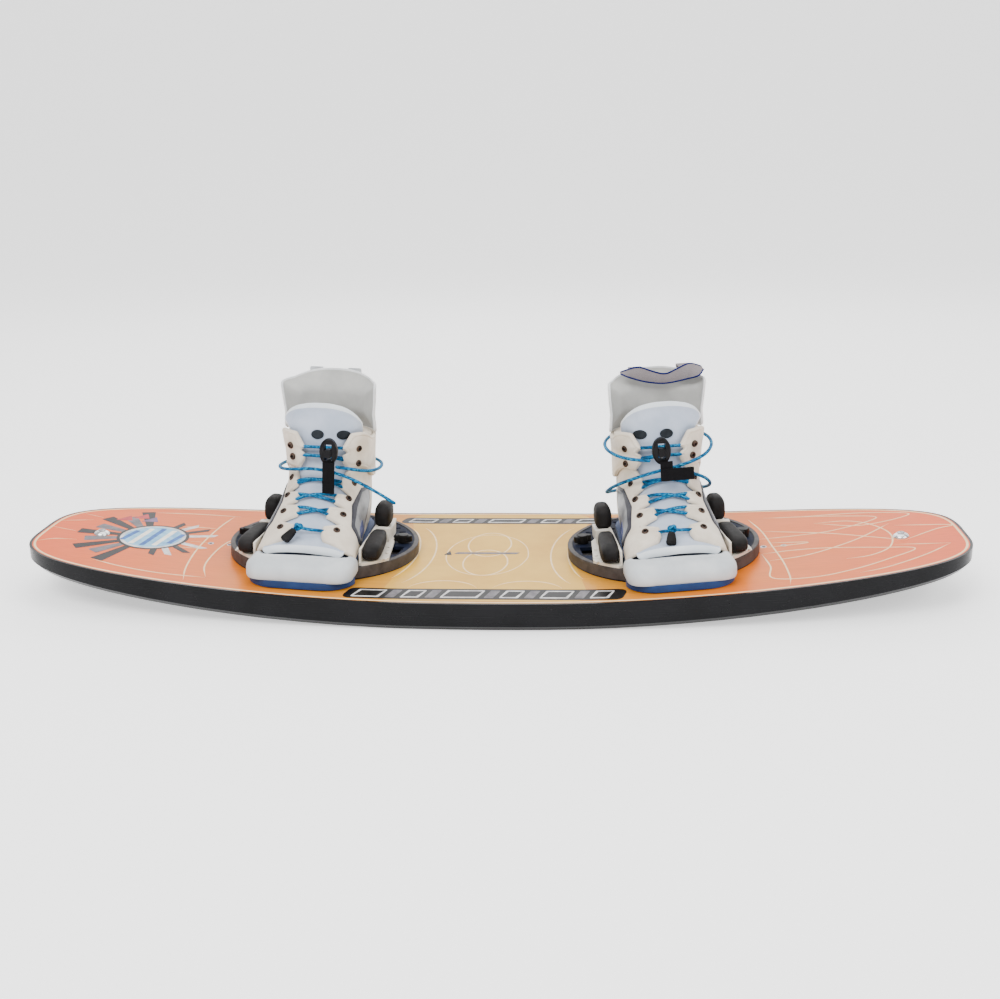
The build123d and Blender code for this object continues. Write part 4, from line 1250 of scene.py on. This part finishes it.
def front_spot(x, z, offset):
    """(station, angle) of the tongue's surface where the front view shows (x, z)."""
    angle, station = 0.0, 5.0
    stations = np.linspace(0, LAST_STATION, STATION_STEPS + 1)
    for _ in range(8):
        station = float(np.interp(z, form_points(stations, angle, offset)[:, 2], stations))
        half = float(form_rows(np.array([station]))[0, 4]) + offset
        share = np.clip((x - BOOT_LEAN * z) / half, -0.98, 0.98)
        angle = degrees(np.arcsin(np.sign(share) * abs(share) ** (FORM_POWER / 2)))
    return station, angle


def tongue_outline():
    corners = [(*FRONT.flat(1.0, -66), 8), (*FRONT.flat(1.0, 66), 8)]
    corners += [(*FRONT.flat(station, 62), 20) for station in (2.2, 3.4, 4.6)]
    top = [(46, 120, 20), (50, 160, 14), (46, 180, 16), (34, 196, 30), (16, 204, 30), (-8, 206.5, 40),
           (-34, 204, 30), (-54, 195, 22), (-63, 178, 12), (-56, 158, 14), (-46, 120, 20)]
    corners += [(*FRONT.flat(*front_spot(x, z, LINING)), r) for x, z, r in top]
    corners += [(*FRONT.flat(station, -62), 20) for station in (4.6, 3.4, 2.2)]
    return rounded(corners, 1.8)


def tongue_relief(a, b, d):
    """Raised, bevelled rim with a channel inside it."""
    return -1.8 * ease((d - 6.5) / 3.5)


# Creases on the toe bumper: the middle's (x, y), half length and bend.
CREASES = [(-14, -154, 24, 0.012), (6, -162, 28, 0.010), (22, -152, 20, -0.012), (32, -167, 26, 0.014),
           (-34, -160, 18, -0.010)]
CREASE_DEPTH, CREASE_WIDTH = 2.6, 2.0


def toe_mesh():
    """Padded bumper in front of the toes, with soft creases where the tongue presses on it."""
    half, front, back = 77, -178, -117.6
    corners = [(-half, back, 4), (-half, front, 58), (half, front, 58), (half, back, 4), (58, back, 3),
               (57, -131, 10), (-57, -131, 10), (-58, back, 3)]

    def top(a, b, d):
        height = soft_edge(-2, 23.6, 30, 0.24)(a, b, d)
        fade = np.clip(d / 12, 0, 1)
        for x, y, half_length, bend in CREASES:
            line = y + bend * (a - x) ** 2
            reach = np.exp(-(((a - x) / half_length) ** 4))
            height = height + fade * reach * groove(b, line, CREASE_WIDTH, CREASE_DEPTH)
        return height + 0.7 * np.sin(a / 26 + 1) * fade

    def bottom(a, b):
        return np.where(np.hypot(a, b) < DISC_ROOM, 0.6, -8.0)

    wall = [(1.5, 0.0), (lambda a, b: bottom(a, b) + 3, 0.0), (bottom, 1.5)]
    points, faces, _ = pad_mesh(rounded(corners, 2.0), top, wall, [1, 2.5, 4.5, 7, 10, 14], 3.0, (),
                                lambda a, b, d: bottom(a, b))
    return points, faces


def face_groups(faces, near, width):
    """1 for the faces whose middle lies further than a width from the edge, else 0."""
    return [1 if np.mean([near[i] for i in face]) > width else 0 for face in faces]


def leaf_outline(hand, inset=0.0):
    middle = np.array([-20.0, 46.0])
    spots = [(-84, 22), (-76, 44), (-36, 66), (10, 80), (40, 78), (42, 56), (-4, 32), (-60, 12)]
    corners = []
    for y, z in spots:
        away = np.array([y, z]) - middle
        y, z = middle + away * (1 - inset / np.linalg.norm(away))
        corners.append((*side_flat(y, z, hand), 9))
    return rounded(corners, 1.5)


def widened(points, middle, share, low, rise):
    """Widens points about x = middle by a share that sets in over a rise in height from low."""
    grown = 1 + share * np.clip((points[:, 2] - low) / rise, 0, 1)
    points[:, 0] = middle + (points[:, 0] - middle) * grown


BOUND = {"channel": 5.2, "share": 0.4}          # stitched edge of the overlays and the cuff
OVERLAYS = {hand: fitted(FRONT, overlay_outline(hand), LINING + GAP, UPPER, 3.4, **BOUND)
            for hand in (1, -1)}
CUFF = fitted(BACK, cuff_outline(), UPPER + GAP, STRAP, 3.4, 4.5, **BOUND)
HEEL = fitted(BACK, heel_outline(), 0.6, UPPER, 4, 6)
PANEL = fitted(BACK, panel_outline(), CALF_PAD - PANEL_EDGE, CALF_PAD, 3, 4.5, 0.4, under=panel_inside)
TONGUE = fitted(FRONT, tongue_outline(), 0.2, LINING, 6, share=0.25, relief=tongue_relief)
TOE = toe_mesh()

# the cuff lies closer to the outer side of the ankle
OUTER_X, OUTER_SHARE = -7, 0.94
cuff_x = CUFF[0][:, 0]
cuff_x[:] = np.where(cuff_x < OUTER_X, OUTER_X + (cuff_x - OUTER_X) * OUTER_SHARE, cuff_x)

# the panel narrows upwards, and its top edge rises to the middle
PANEL_MIDDLE, PANEL_HALF = -9, 62
CROWN_LOW, CROWN_SPAN, CROWN_RISE, CROWN_DROP, CROWN_POWER = 190, 45, 3.0, 12.0, 2.4
widened(PANEL[0], PANEL_MIDDLE, -0.08, 150, 30)
crown = np.clip((PANEL[0][:, 2] - CROWN_LOW) / CROWN_SPAN, 0, 1) ** 2
aside = np.clip(np.abs(PANEL[0][:, 0] - PANEL_MIDDLE) / PANEL_HALF, 0, 1)
PANEL[0][:, 2] += crown * (CROWN_RISE - CROWN_DROP * aside**CROWN_POWER)

# the tongue spreads above the cuff, and its lip lifts off the toe bumper
LIP_Y, LIP_SPAN, LIP_RISE, LIP_REACH = -100, 20, 4.0, 8.0
widened(TONGUE[0], -6, 0.13, 155, 22)
lip = np.clip((LIP_Y - TONGUE[0][:, 1]) / LIP_SPAN, 0, 1) ** 2
TONGUE[0][:, 2] += LIP_RISE * lip
TONGUE[0][:, 1] -= LIP_REACH * lip

EYELET_PROFILE = [(0.0, 0.25), (2.3, 0.25), (2.35, 1.3), (3.2, 1.75), (4.4, 1.5), (5.2, 0.5),
                  (5.2, -2.5), (0.0, -2.5)]
WASHER_PROFILE = [(0, 4.0), (3.2, 4.0), (3.4, 5.4), (6.5, 5.2), (10.2, 3.2), (12, 0.8), (12, -1.2),
                  (0, -1.2)]
SEAM_PROFILE = [(134.0, -1.4), (134.3, -0.4), (135.2, -0.1), (136.2, -0.2), (136.4, -1.4),
                (134.0, -1.4)]


def eyelet_spots():
    spots = []
    for rows, high in ((LOWER_ROWS, UPPER), (UPPER_ROWS, STRAP)):
        for station, inner, outer in rows:
            for angle in (inner, -outer):
                spots.append((form_point(station, angle, high), form_normal(station, angle, high)))
    return spots


def in_board(made, matrix):
    """(points, faces) from a frame, as board millimetres."""
    matrix = np.array(matrix)
    return (np.asarray(made[0], float) @ matrix[:3, :3].T + matrix[:3, 3]) / MM, made[1]


def on_both(meshes):
    """The meshes of one boot, placed on each of the two."""
    return [in_board(made, boot_frame(side)) for side in SIDES for made in meshes]


def make_shared():
    """Parts that are one CAD node for both boots."""
    def shared(name, parts, looks, nodes=(), groups=None):
        points, faces = joined(parts)
        return make_piece(name, points, faces, BOARD, "board", looks, nodes, groups)

    ring, faces = lathe(EYELET_PROFILE, 24)
    # the disc that closes each eyelet's hole and the buried underside take the dark material: painted
    # shade for the open hole
    in_hole = [1 if np.hypot(*ring[list(f)][:, :2].mean(0)) < 2.25 or max(ring[list(f)][:, 2]) < 0.3
               else 0 for f in faces]
    rings = on_both([(aimed(ring, place, normal), faces) for place, normal in eyelet_spots()])
    shared("eyelet_rings", rings, [LOOKS["bronze"], LOOKS["dark_hole"]],
           ["eyelets"], in_hole * len(rings))

    half_length = 49.5
    front, front_faces = superellipsoid((0, 0, 0), (13.0, half_length, 13.2), 4.2, 3.2, 24, 56)
    along = (front[:, 1] + half_length) / (2 * half_length)
    # wider and further out at the toes than at the arch
    front[:, 0] = front[:, 0] * (1.1 - 0.2 * along) + 92.5 - 4.5 * along
    front += np.array([0, -63.5, 16.8])
    rear, rear_faces = superellipsoid((85.6, 26, 36.9), (13.2, 24.2, 19.4), 3.2, 2.9, 24, 48, 0.1)
    for name, node, points, faces in (("front_pads", "front_bumpers", front, front_faces),
                                      ("rear_pads", "rear_bumpers", rear, rear_faces)):
        pads = on_both([(points * np.array([hand, 1, 1]), faces) for hand in (-1, 1)])
        shared(name, pads, LOOKS["bumper"], [node])

    plates = []
    for hand in (1, -1):
        patch = [(*side_flat(y, z, hand), 4) for y, z in ((-68, 24), (-62, 38), (-34, 45), (-36, 28))]
        plates += [fitted(FRONT, leaf_outline(hand), UPPER - 0.6, 15.9, 1.4),
                   fitted(FRONT, leaf_outline(hand, 7), 15.2, 16.3, 0.8),
                   fitted(FRONT, rounded(patch, 1.5), 15.8, 16.9, 0.8, 3)]
    groups = [k % 3 for k, plate in enumerate(plates) for _ in plate[1]] * len(SIDES)
    shared("badge_plates", on_both(plates),
           [LOOKS["badge"], LOOKS["badge_light"], LOOKS["badge_blue"]], ["side_badges"], groups)

    ovals = []
    for x in (-12, 27):
        outline = np.array([FRONT.flat(*front_spot(x + 10 * cos(t), 161 + 7 * sin(t), LINING))
                            for t in circle(40)])
        ovals.append(fitted(FRONT, outline, LINING - 2.2, 8.6, 2, 3))
    shared("vent_ovals", on_both(ovals), LOOKS["vent"], ["tongue_vents"])

    washer = lathe(WASHER_PROFILE, 48)
    fins = [deck_frame(sign, FIN_PLACE, float(deck_height(FIN_PLACE))) for sign in (-1, 1)]
    shared("dome_washers", [in_board(washer, matrix) for matrix in fins], LOOKS["chrome"],
           ["fin_washers"])
    seam = lathe(SEAM_PROFILE, 160)
    shared("plate_seams", [in_board(seam, disc_frame(side)) for side in SIDES],
           LOOKS["seam"])


make_shared()


# ---------------------------------------------------------------- laces
STRAND_RADIUS = LACE_RADIUS + 0.6


def strand(first, last, middle):
    """Braided lace between two spots of the form given as (station, angle, offset)."""
    route = [form_point(*first)]
    for share in (0.18, 0.5, 0.82):
        spot = [a + (b - a) * share for a, b in zip(first, last)]
        spot[2] = middle if share == 0.5 else (spot[2] + 2 * middle) / 3
        route.append(form_point(*spot))
    route.append(form_point(*last))
    return braided_tube(smooth_line(route, 0.9), STRAND_RADIUS, 16)


def joined_tubes(tubes):
    """Points, faces and uv of several tubes as one."""
    return *joined([tube[:2] for tube in tubes]), [spot for tube in tubes for spot in tube[2]]


def lace_meshes(side):
    strands = []
    knot = Vector(END_TABS[side][0])
    for k, (station, angle, _) in enumerate(LACE_TIPS):
        if k == 0:
            for hand in (1, -1):
                start = form_point(station, hand * (angle + 6), 11.2)
                near = form_point(station - 0.02, hand * (angle - 3), 12.6)
                away = form_point(station - 0.1, hand * 5, 11.2)
                route = [start, near, away.lerp(knot, 0.5), knot]
                strands.append(braided_tube(smooth_line(route, 0.9), STRAND_RADIUS, 16))
            continue
        reach = 0.16 + 0.02 * k
        flip = 1 if k % 2 else -1
        for order, sign in enumerate((flip, -flip)):
            one = (station + sign * reach, angle + 5, 11.2)
            two = (station - sign * reach * (0.4 if k == 3 else 1), -(angle + 5), 11.2)
            strands.append(strand(one, two, 11.0 + 3.6 * order))
    for station, first, last in ((7.0, 31, -21), (8.4, 31, -20)):
        strands.append(strand((station + 0.1, first, 17.4), (station + 0.12, last, 17.4), 13.6))
    strands.append(strand((6.9, 31, 17.4), (7.12, -21, 17.4), 17.4))
    # the knot: a small double loop with both ends tucked in
    loop = []
    for t in circle(15):
        radius = 5.2 + 1.9 * cos(3 * t)
        loop.append(knot + Vector((radius * cos(2 * t) * 0.9, 2.6 * sin(3 * t) - 1.2,
                                   radius * sin(2 * t) * 0.75)))
    strands.append(braided_tube(smooth_line(loop, 0.8), 2.1, 14))
    return joined_tubes(strands)


def tapered_tab(top, bottom):
    """Rubber tab on the lace ends, wider at its foot."""
    top, bottom = Vector(top), Vector(bottom)
    length = (bottom - top).length
    points, faces = superellipsoid((0, 0, 0.9), (7.6, 4.4, length / 2 - 0.3), 3.2, 4.5, 22, 36)
    share = points[:, 2] / length + 0.5
    points[:, 0] *= 0.66 + 0.4 * share
    points[:, 1] *= 0.8 + 0.2 * share
    # shallow grip ribs on the wide half
    ribs = 0.18 * np.sin(share * 38) * (share > 0.45)
    points[:, 1] += np.sign(points[:, 1]) * ribs
    along = (bottom - top).normalized()
    across = Vector((1, 0, 0))
    across = (across - along * across.dot(along)).normalized()
    basis = np.array([across, along.cross(across), along])
    return points @ basis + np.array((top + bottom) / 2), faces


def make_boot(side):
    matrix = boot_frame(side)

    def layer(name, made, slot, looks, nodes, groups=None):
        make_piece(f"{side}_{name}", made[0], made[1], matrix, "board", looks,
                               nodes, groups)

    for hand, word in ((1, "inner"), (-1, "outer")):
        layer(word + "_overlay_skin", OVERLAYS[hand], "overlay_cream", LOOKS["overlay"],
              [f"{side}_{word}_overlay"])
    layer("cuff_skin", CUFF, "overlay_cream", LOOKS["overlay"], [side + "_cuff"])
    layer("heel_cup", HEEL, "panel_grey", LOOKS["overlay"], [side + "_back_panel"])
    # the panel's inner face, the second half of its triangles, is darker away from the edge: the
    # lighter rim foam, a painted highlight, covers the edge band, the walls and the outer face
    inside_faces = sum(len(face) == 3 for face in PANEL[1]) // 2
    groups = [0] * (len(PANEL[1]) - inside_faces)
    groups += face_groups(PANEL[1][-inside_faces:], PANEL[2], RINGS[2])
    layer("calf_panel", PANEL, "panel_grey", [LOOKS["panel_rim"], LOOKS["panel"]],
          [side + "_back_panel"], groups)
    # faces within 6 mm of the tongue's edge take the lighter rim foam, a painted highlight along the
    # bevelled rim
    groups = face_groups(TONGUE[1], TONGUE[2], RINGS[-1])
    layer("tongue_pad", TONGUE, "tongue_blue_white", [LOOKS["tongue_rim"], LOOKS["tongue"]],
          [side + "_tongue"], groups)
    layer("toe_pad", TOE, "toe_grey", LOOKS["toe"], [side + "_toe_cap"])

    points, faces, uv = lace_meshes(side)
    make_piece(side + "_lace_strands", points, faces, matrix, "board", LOOKS["lace"],
               [side + "_laces"], uv=uv)
    line = smooth_line(WRAP_ROUTES[side], 1.2)
    points, faces, uv = braided_tube(line, CORD_RADIUS + 0.3, 18)
    wrap = make_piece(side + "_wrap_cord", points, faces, matrix, "board", LOOKS["lace"],
                      [side + "_lace_cord"], uv=uv)

    points, faces = tapered_tab(*END_TABS[side][1:])
    make_piece(side + "_grip_tab", points, faces, matrix, side + "_end_tab",
               LOOKS["end_rubber"], [side + "_end_tab"])


for side in SIDES:
    make_boot(side)


# ---------------------------------------------------------------- calf straps
ANCHOR_LOW = 206             # height down to which the calf straps are sewn to the panel's back


def back_face_y(x, station, offset):
    """How far back the form lies at x, at a station and offset."""
    ring = form_points(station, np.linspace(95, 265, 341), offset)
    return float(np.interp(x, ring[::-1, 0], ring[::-1, 1]))


def band_mesh(upper, lower, thickness):
    """Closed band between two rows of points, with its thickness along y."""
    upper, lower = np.asarray(upper, float), np.asarray(lower, float)
    count, rows = len(upper), 7
    points, faces = [], []
    for layer in (0.0, thickness):
        for k in range(rows):
            share = k / (rows - 1)
            sag = -1.2 * sin(pi * share) * (1 if layer == 0 else 0.6)
            points.append(upper * (1 - share) + lower * share + np.array([0, layer + sag, 0]))
    total = rows * count
    for k in range(rows - 1):
        for j in range(count - 1):
            i = k * count + j
            faces.append((i, i + 1, i + count + 1, i + count))
            faces.append(tuple(v + total for v in (i + count, i + count + 1, i + 1, i)))
    rim = list(range(count)) + [k * count + count - 1 for k in range(1, rows)]
    rim += [(rows - 1) * count + j for j in range(count - 2, -1, -1)]
    rim += [k * count for k in range(rows - 2, 0, -1)]
    for k, here in enumerate(rim):
        after = rim[(k + 1) % len(rim)]
        faces.append((after, here, here + total, after + total))
    return np.concatenate(points), faces


def strap_piece(name, side, parts, look, nodes=()):
    """A piece that swings with one boot's pull strap."""
    points, faces = joined(parts)
    make_piece(name, points, faces, boot_frame(side), side + "_pull_strap",
               LOOKS[look], nodes)


def piping(edges):
    """A thin cord sewn along each edge."""
    lines = [smooth_line(edge[::3].tolist() + [edge[-1].tolist()], 1.2) for edge in edges]
    return [braided_tube(line, 1.2, 8)[:2] for line in lines]


FLAP_Y = 92.0                # how far back the right strap's flap hangs at most


def make_straps():
    # right: folded over the panel's top to the inside, with a navy cord along both edges
    upper = curve_through([(41, 240), (24, 244.5), (10, 245.5), (-8, 238), (-28, 232.5), (-46, 239),
                           (-64, 245.8), (-76, 243), (-84, 239.5)], 2.5)
    lower = curve_through([(41, 238.4), (26, 231), (8, 224), (-12, 219.5), (-30, 218), (-50, 221),
                           (-68, 228), (-78, 234), (-84, 238.2)], 2.5)
    even = np.linspace(0, 1, 60)
    edges = []
    for line in (upper, lower):
        x, z = picked(line, np.linspace(0, 1, len(line)), even).T
        y = [min(back_face_y(v, 10.7, 0.0) - 4.2, FLAP_Y) if w < 238 else FLAP_Y for v, w in zip(x, z)]
        y = np.convolve(np.pad(y, 4, mode="edge"), np.ones(9) / 9, "valid")
        edges.append(np.stack([x, y, z], -1))
    parts = [band_mesh(*edges, 2.0)]
    for x0, x1 in ((4, 24), (-70, -50)):
        low_side, high_side = (np.array([(x, y, z) for y, z in (
            (92.5, 240.2), (104, 241.6), (116, 241.6), (124.6, 240.8))]) for x in (x0, x1))
        drop = np.array([0, 0, 1.8])
        bridge = np.concatenate([low_side, high_side, low_side - drop, high_side - drop])
        bridge_faces = [(0, 4, 12, 8), (3, 11, 15, 7)]
        for k in range(3):
            bridge_faces += [(k, k + 1, k + 5, k + 4), (k + 8, k + 12, k + 13, k + 9),
                             (k, k + 8, k + 9, k + 1), (k + 4, k + 5, k + 13, k + 12)]
        parts.append((bridge, bridge_faces))
    strap_piece("right_strap_flap", "right", parts, "strap", ["right_pull_strap"])
    strap_piece("right_strap_piping", "right", piping(edges), "piping")
    # left: hanging behind the panel from two stitched ends
    y, z = STRAP_AXIS
    outer_edge = curve_through([(-52, y, z - 1), (-50, y + 1, z - 18), (-34, y + 2.5, z - 33),
                                (-12, y + 3, z - 38), (10, y + 2.5, z - 33), (26, y + 1, z - 18),
                                (28, y, z - 1)], 2.5)
    inner_edge = curve_through([(-32, y, z - 1), (-32, y + 1, z - 11), (-25, y + 2, z - 17),
                                (-12, y + 2.5, z - 20), (1, y + 2, z - 17), (8, y + 1, z - 11),
                                (8, y, z - 1)], 2.5)
    edges = [picked(line, np.linspace(0, 1, len(line)), even) for line in (inner_edge, outer_edge)]
    strap_piece("left_strap_loop", "left", [band_mesh(*edges, 2.0)], "pale_strap", ["left_pull_strap"])
    strap_piece("left_strap_piping", "left", piping(edges), "pale_strap")
    # the straps' fixed ends, sewn down the back of the panel from the line that they swing about
    low_station = station_at_height(ANCHOR_LOW, 180, CALF_PAD)
    for side, ends, look in (("left", ((-52, -32), (8, 28)), "pale_strap"),
                             ("right", ((-70, -50), (4, 24)), "strap")):
        sewn = []
        for first, last in ends:
            across = np.linspace(first, last, 9)
            upper = [(x, y - 0.4, z + 0.3) for x in across]
            lower = [(x, back_face_y(x, low_station, CALF_PAD) + 1.6, ANCHOR_LOW) for x in across]
            sewn.append(band_mesh(upper, lower, 1.6))
        points, faces = joined(sewn)
        make_piece(side + "_strap_anchors", points, faces, boot_frame(side), "board",
                   LOOKS[look])


make_straps()


# ---------------------------------------------------------------- floor, light and camera
def make_stage():
    ground = Finish("ground", 0.6, specular=0.2)
    ground.colour((0.95, 0.95, 0.95, 1))
    ground.shader.inputs["Emission Color"].default_value = (1, 1, 1, 1)
    ground.shader.inputs["Emission Strength"].default_value = 0.8
    # level out to the sweep, which then rises in a quarter circle and stands up behind
    half_width, front, sweep_start, sweep_radius, top = 14.0, -10.0, 3.2, 3.0, 9.0
    profile = [(front, 0.0), (sweep_start, 0.0)]
    profile += [(sweep_start + sweep_radius * sin(radians(t)), sweep_radius * (1 - cos(radians(t))))
                for t in range(6, 91, 6)]
    profile.append((sweep_start + sweep_radius, top))
    spots = [(x, y, z) for y, z in profile for x in (-half_width, half_width)]
    strips = [(2 * k, 2 * k + 1, 2 * k + 3, 2 * k + 2) for k in range(len(profile) - 1)]
    mesh = bpy.data.meshes.new("floor")
    mesh.from_pydata(spots, [], strips)
    mesh.polygons.foreach_set("use_smooth", np.ones(len(strips), bool))
    mesh.materials.append(ground.material)
    floor = bpy.data.objects.new("floor", mesh)
    bpy.context.scene.collection.objects.link(floor)
    for name, place, target, energy, width, height in (
            ("key_light", (-1.2, -2.2, 3.0), (0, 0, 0.1), 120, 2.4, 1.6),
            ("fill_light", (2.4, -1.6, 1.9), (0, 0, 0.1), 55, 2.2, 1.6),
            ("top_light", (0.2, 0.6, 3.2), (0, 0, 0), 60, 3.2, 2.0),
            ("back_light", (0, 2.8, 1.8), (0, 0, 0.15), 30, 3.0, 1.0)):
        lamp = bpy.data.lights.new(name, "AREA")
        lamp.shape = "RECTANGLE"
        lamp.size, lamp.size_y, lamp.energy = width, height, energy
        holder = bpy.data.objects.new(name, lamp)
        holder.location = place
        holder.rotation_euler = (Vector(target) - Vector(place)).to_track_quat("-Z", "Y").to_euler()
        bpy.context.scene.collection.objects.link(holder)
    world = bpy.data.worlds.new("studio")
    world.use_nodes = True
    world.node_tree.nodes["Background"].inputs["Color"].default_value = (1, 1, 1, 1)
    world.node_tree.nodes["Background"].inputs["Strength"].default_value = 0.8
    bpy.context.scene.world = world


def make_camera():
    lens = bpy.data.cameras.new("camera")
    lens.lens, lens.sensor_width = 48.03, 36
    holder = bpy.data.objects.new("camera", lens)
    right, up = (0.99712, 0.07319, -0.01989), (-0.00119, 0.27736, 0.96076)
    ahead = Vector((-0.07584, 0.95797, -0.27664))
    turn = Matrix((right, up, -ahead)).transposed()
    holder.matrix_world = Matrix.Translation((0.1639, -1.9119, 0.6780)) @ turn.to_4x4()
    bpy.context.scene.collection.objects.link(holder)
    bpy.context.scene.camera = holder


make_stage()
make_camera()
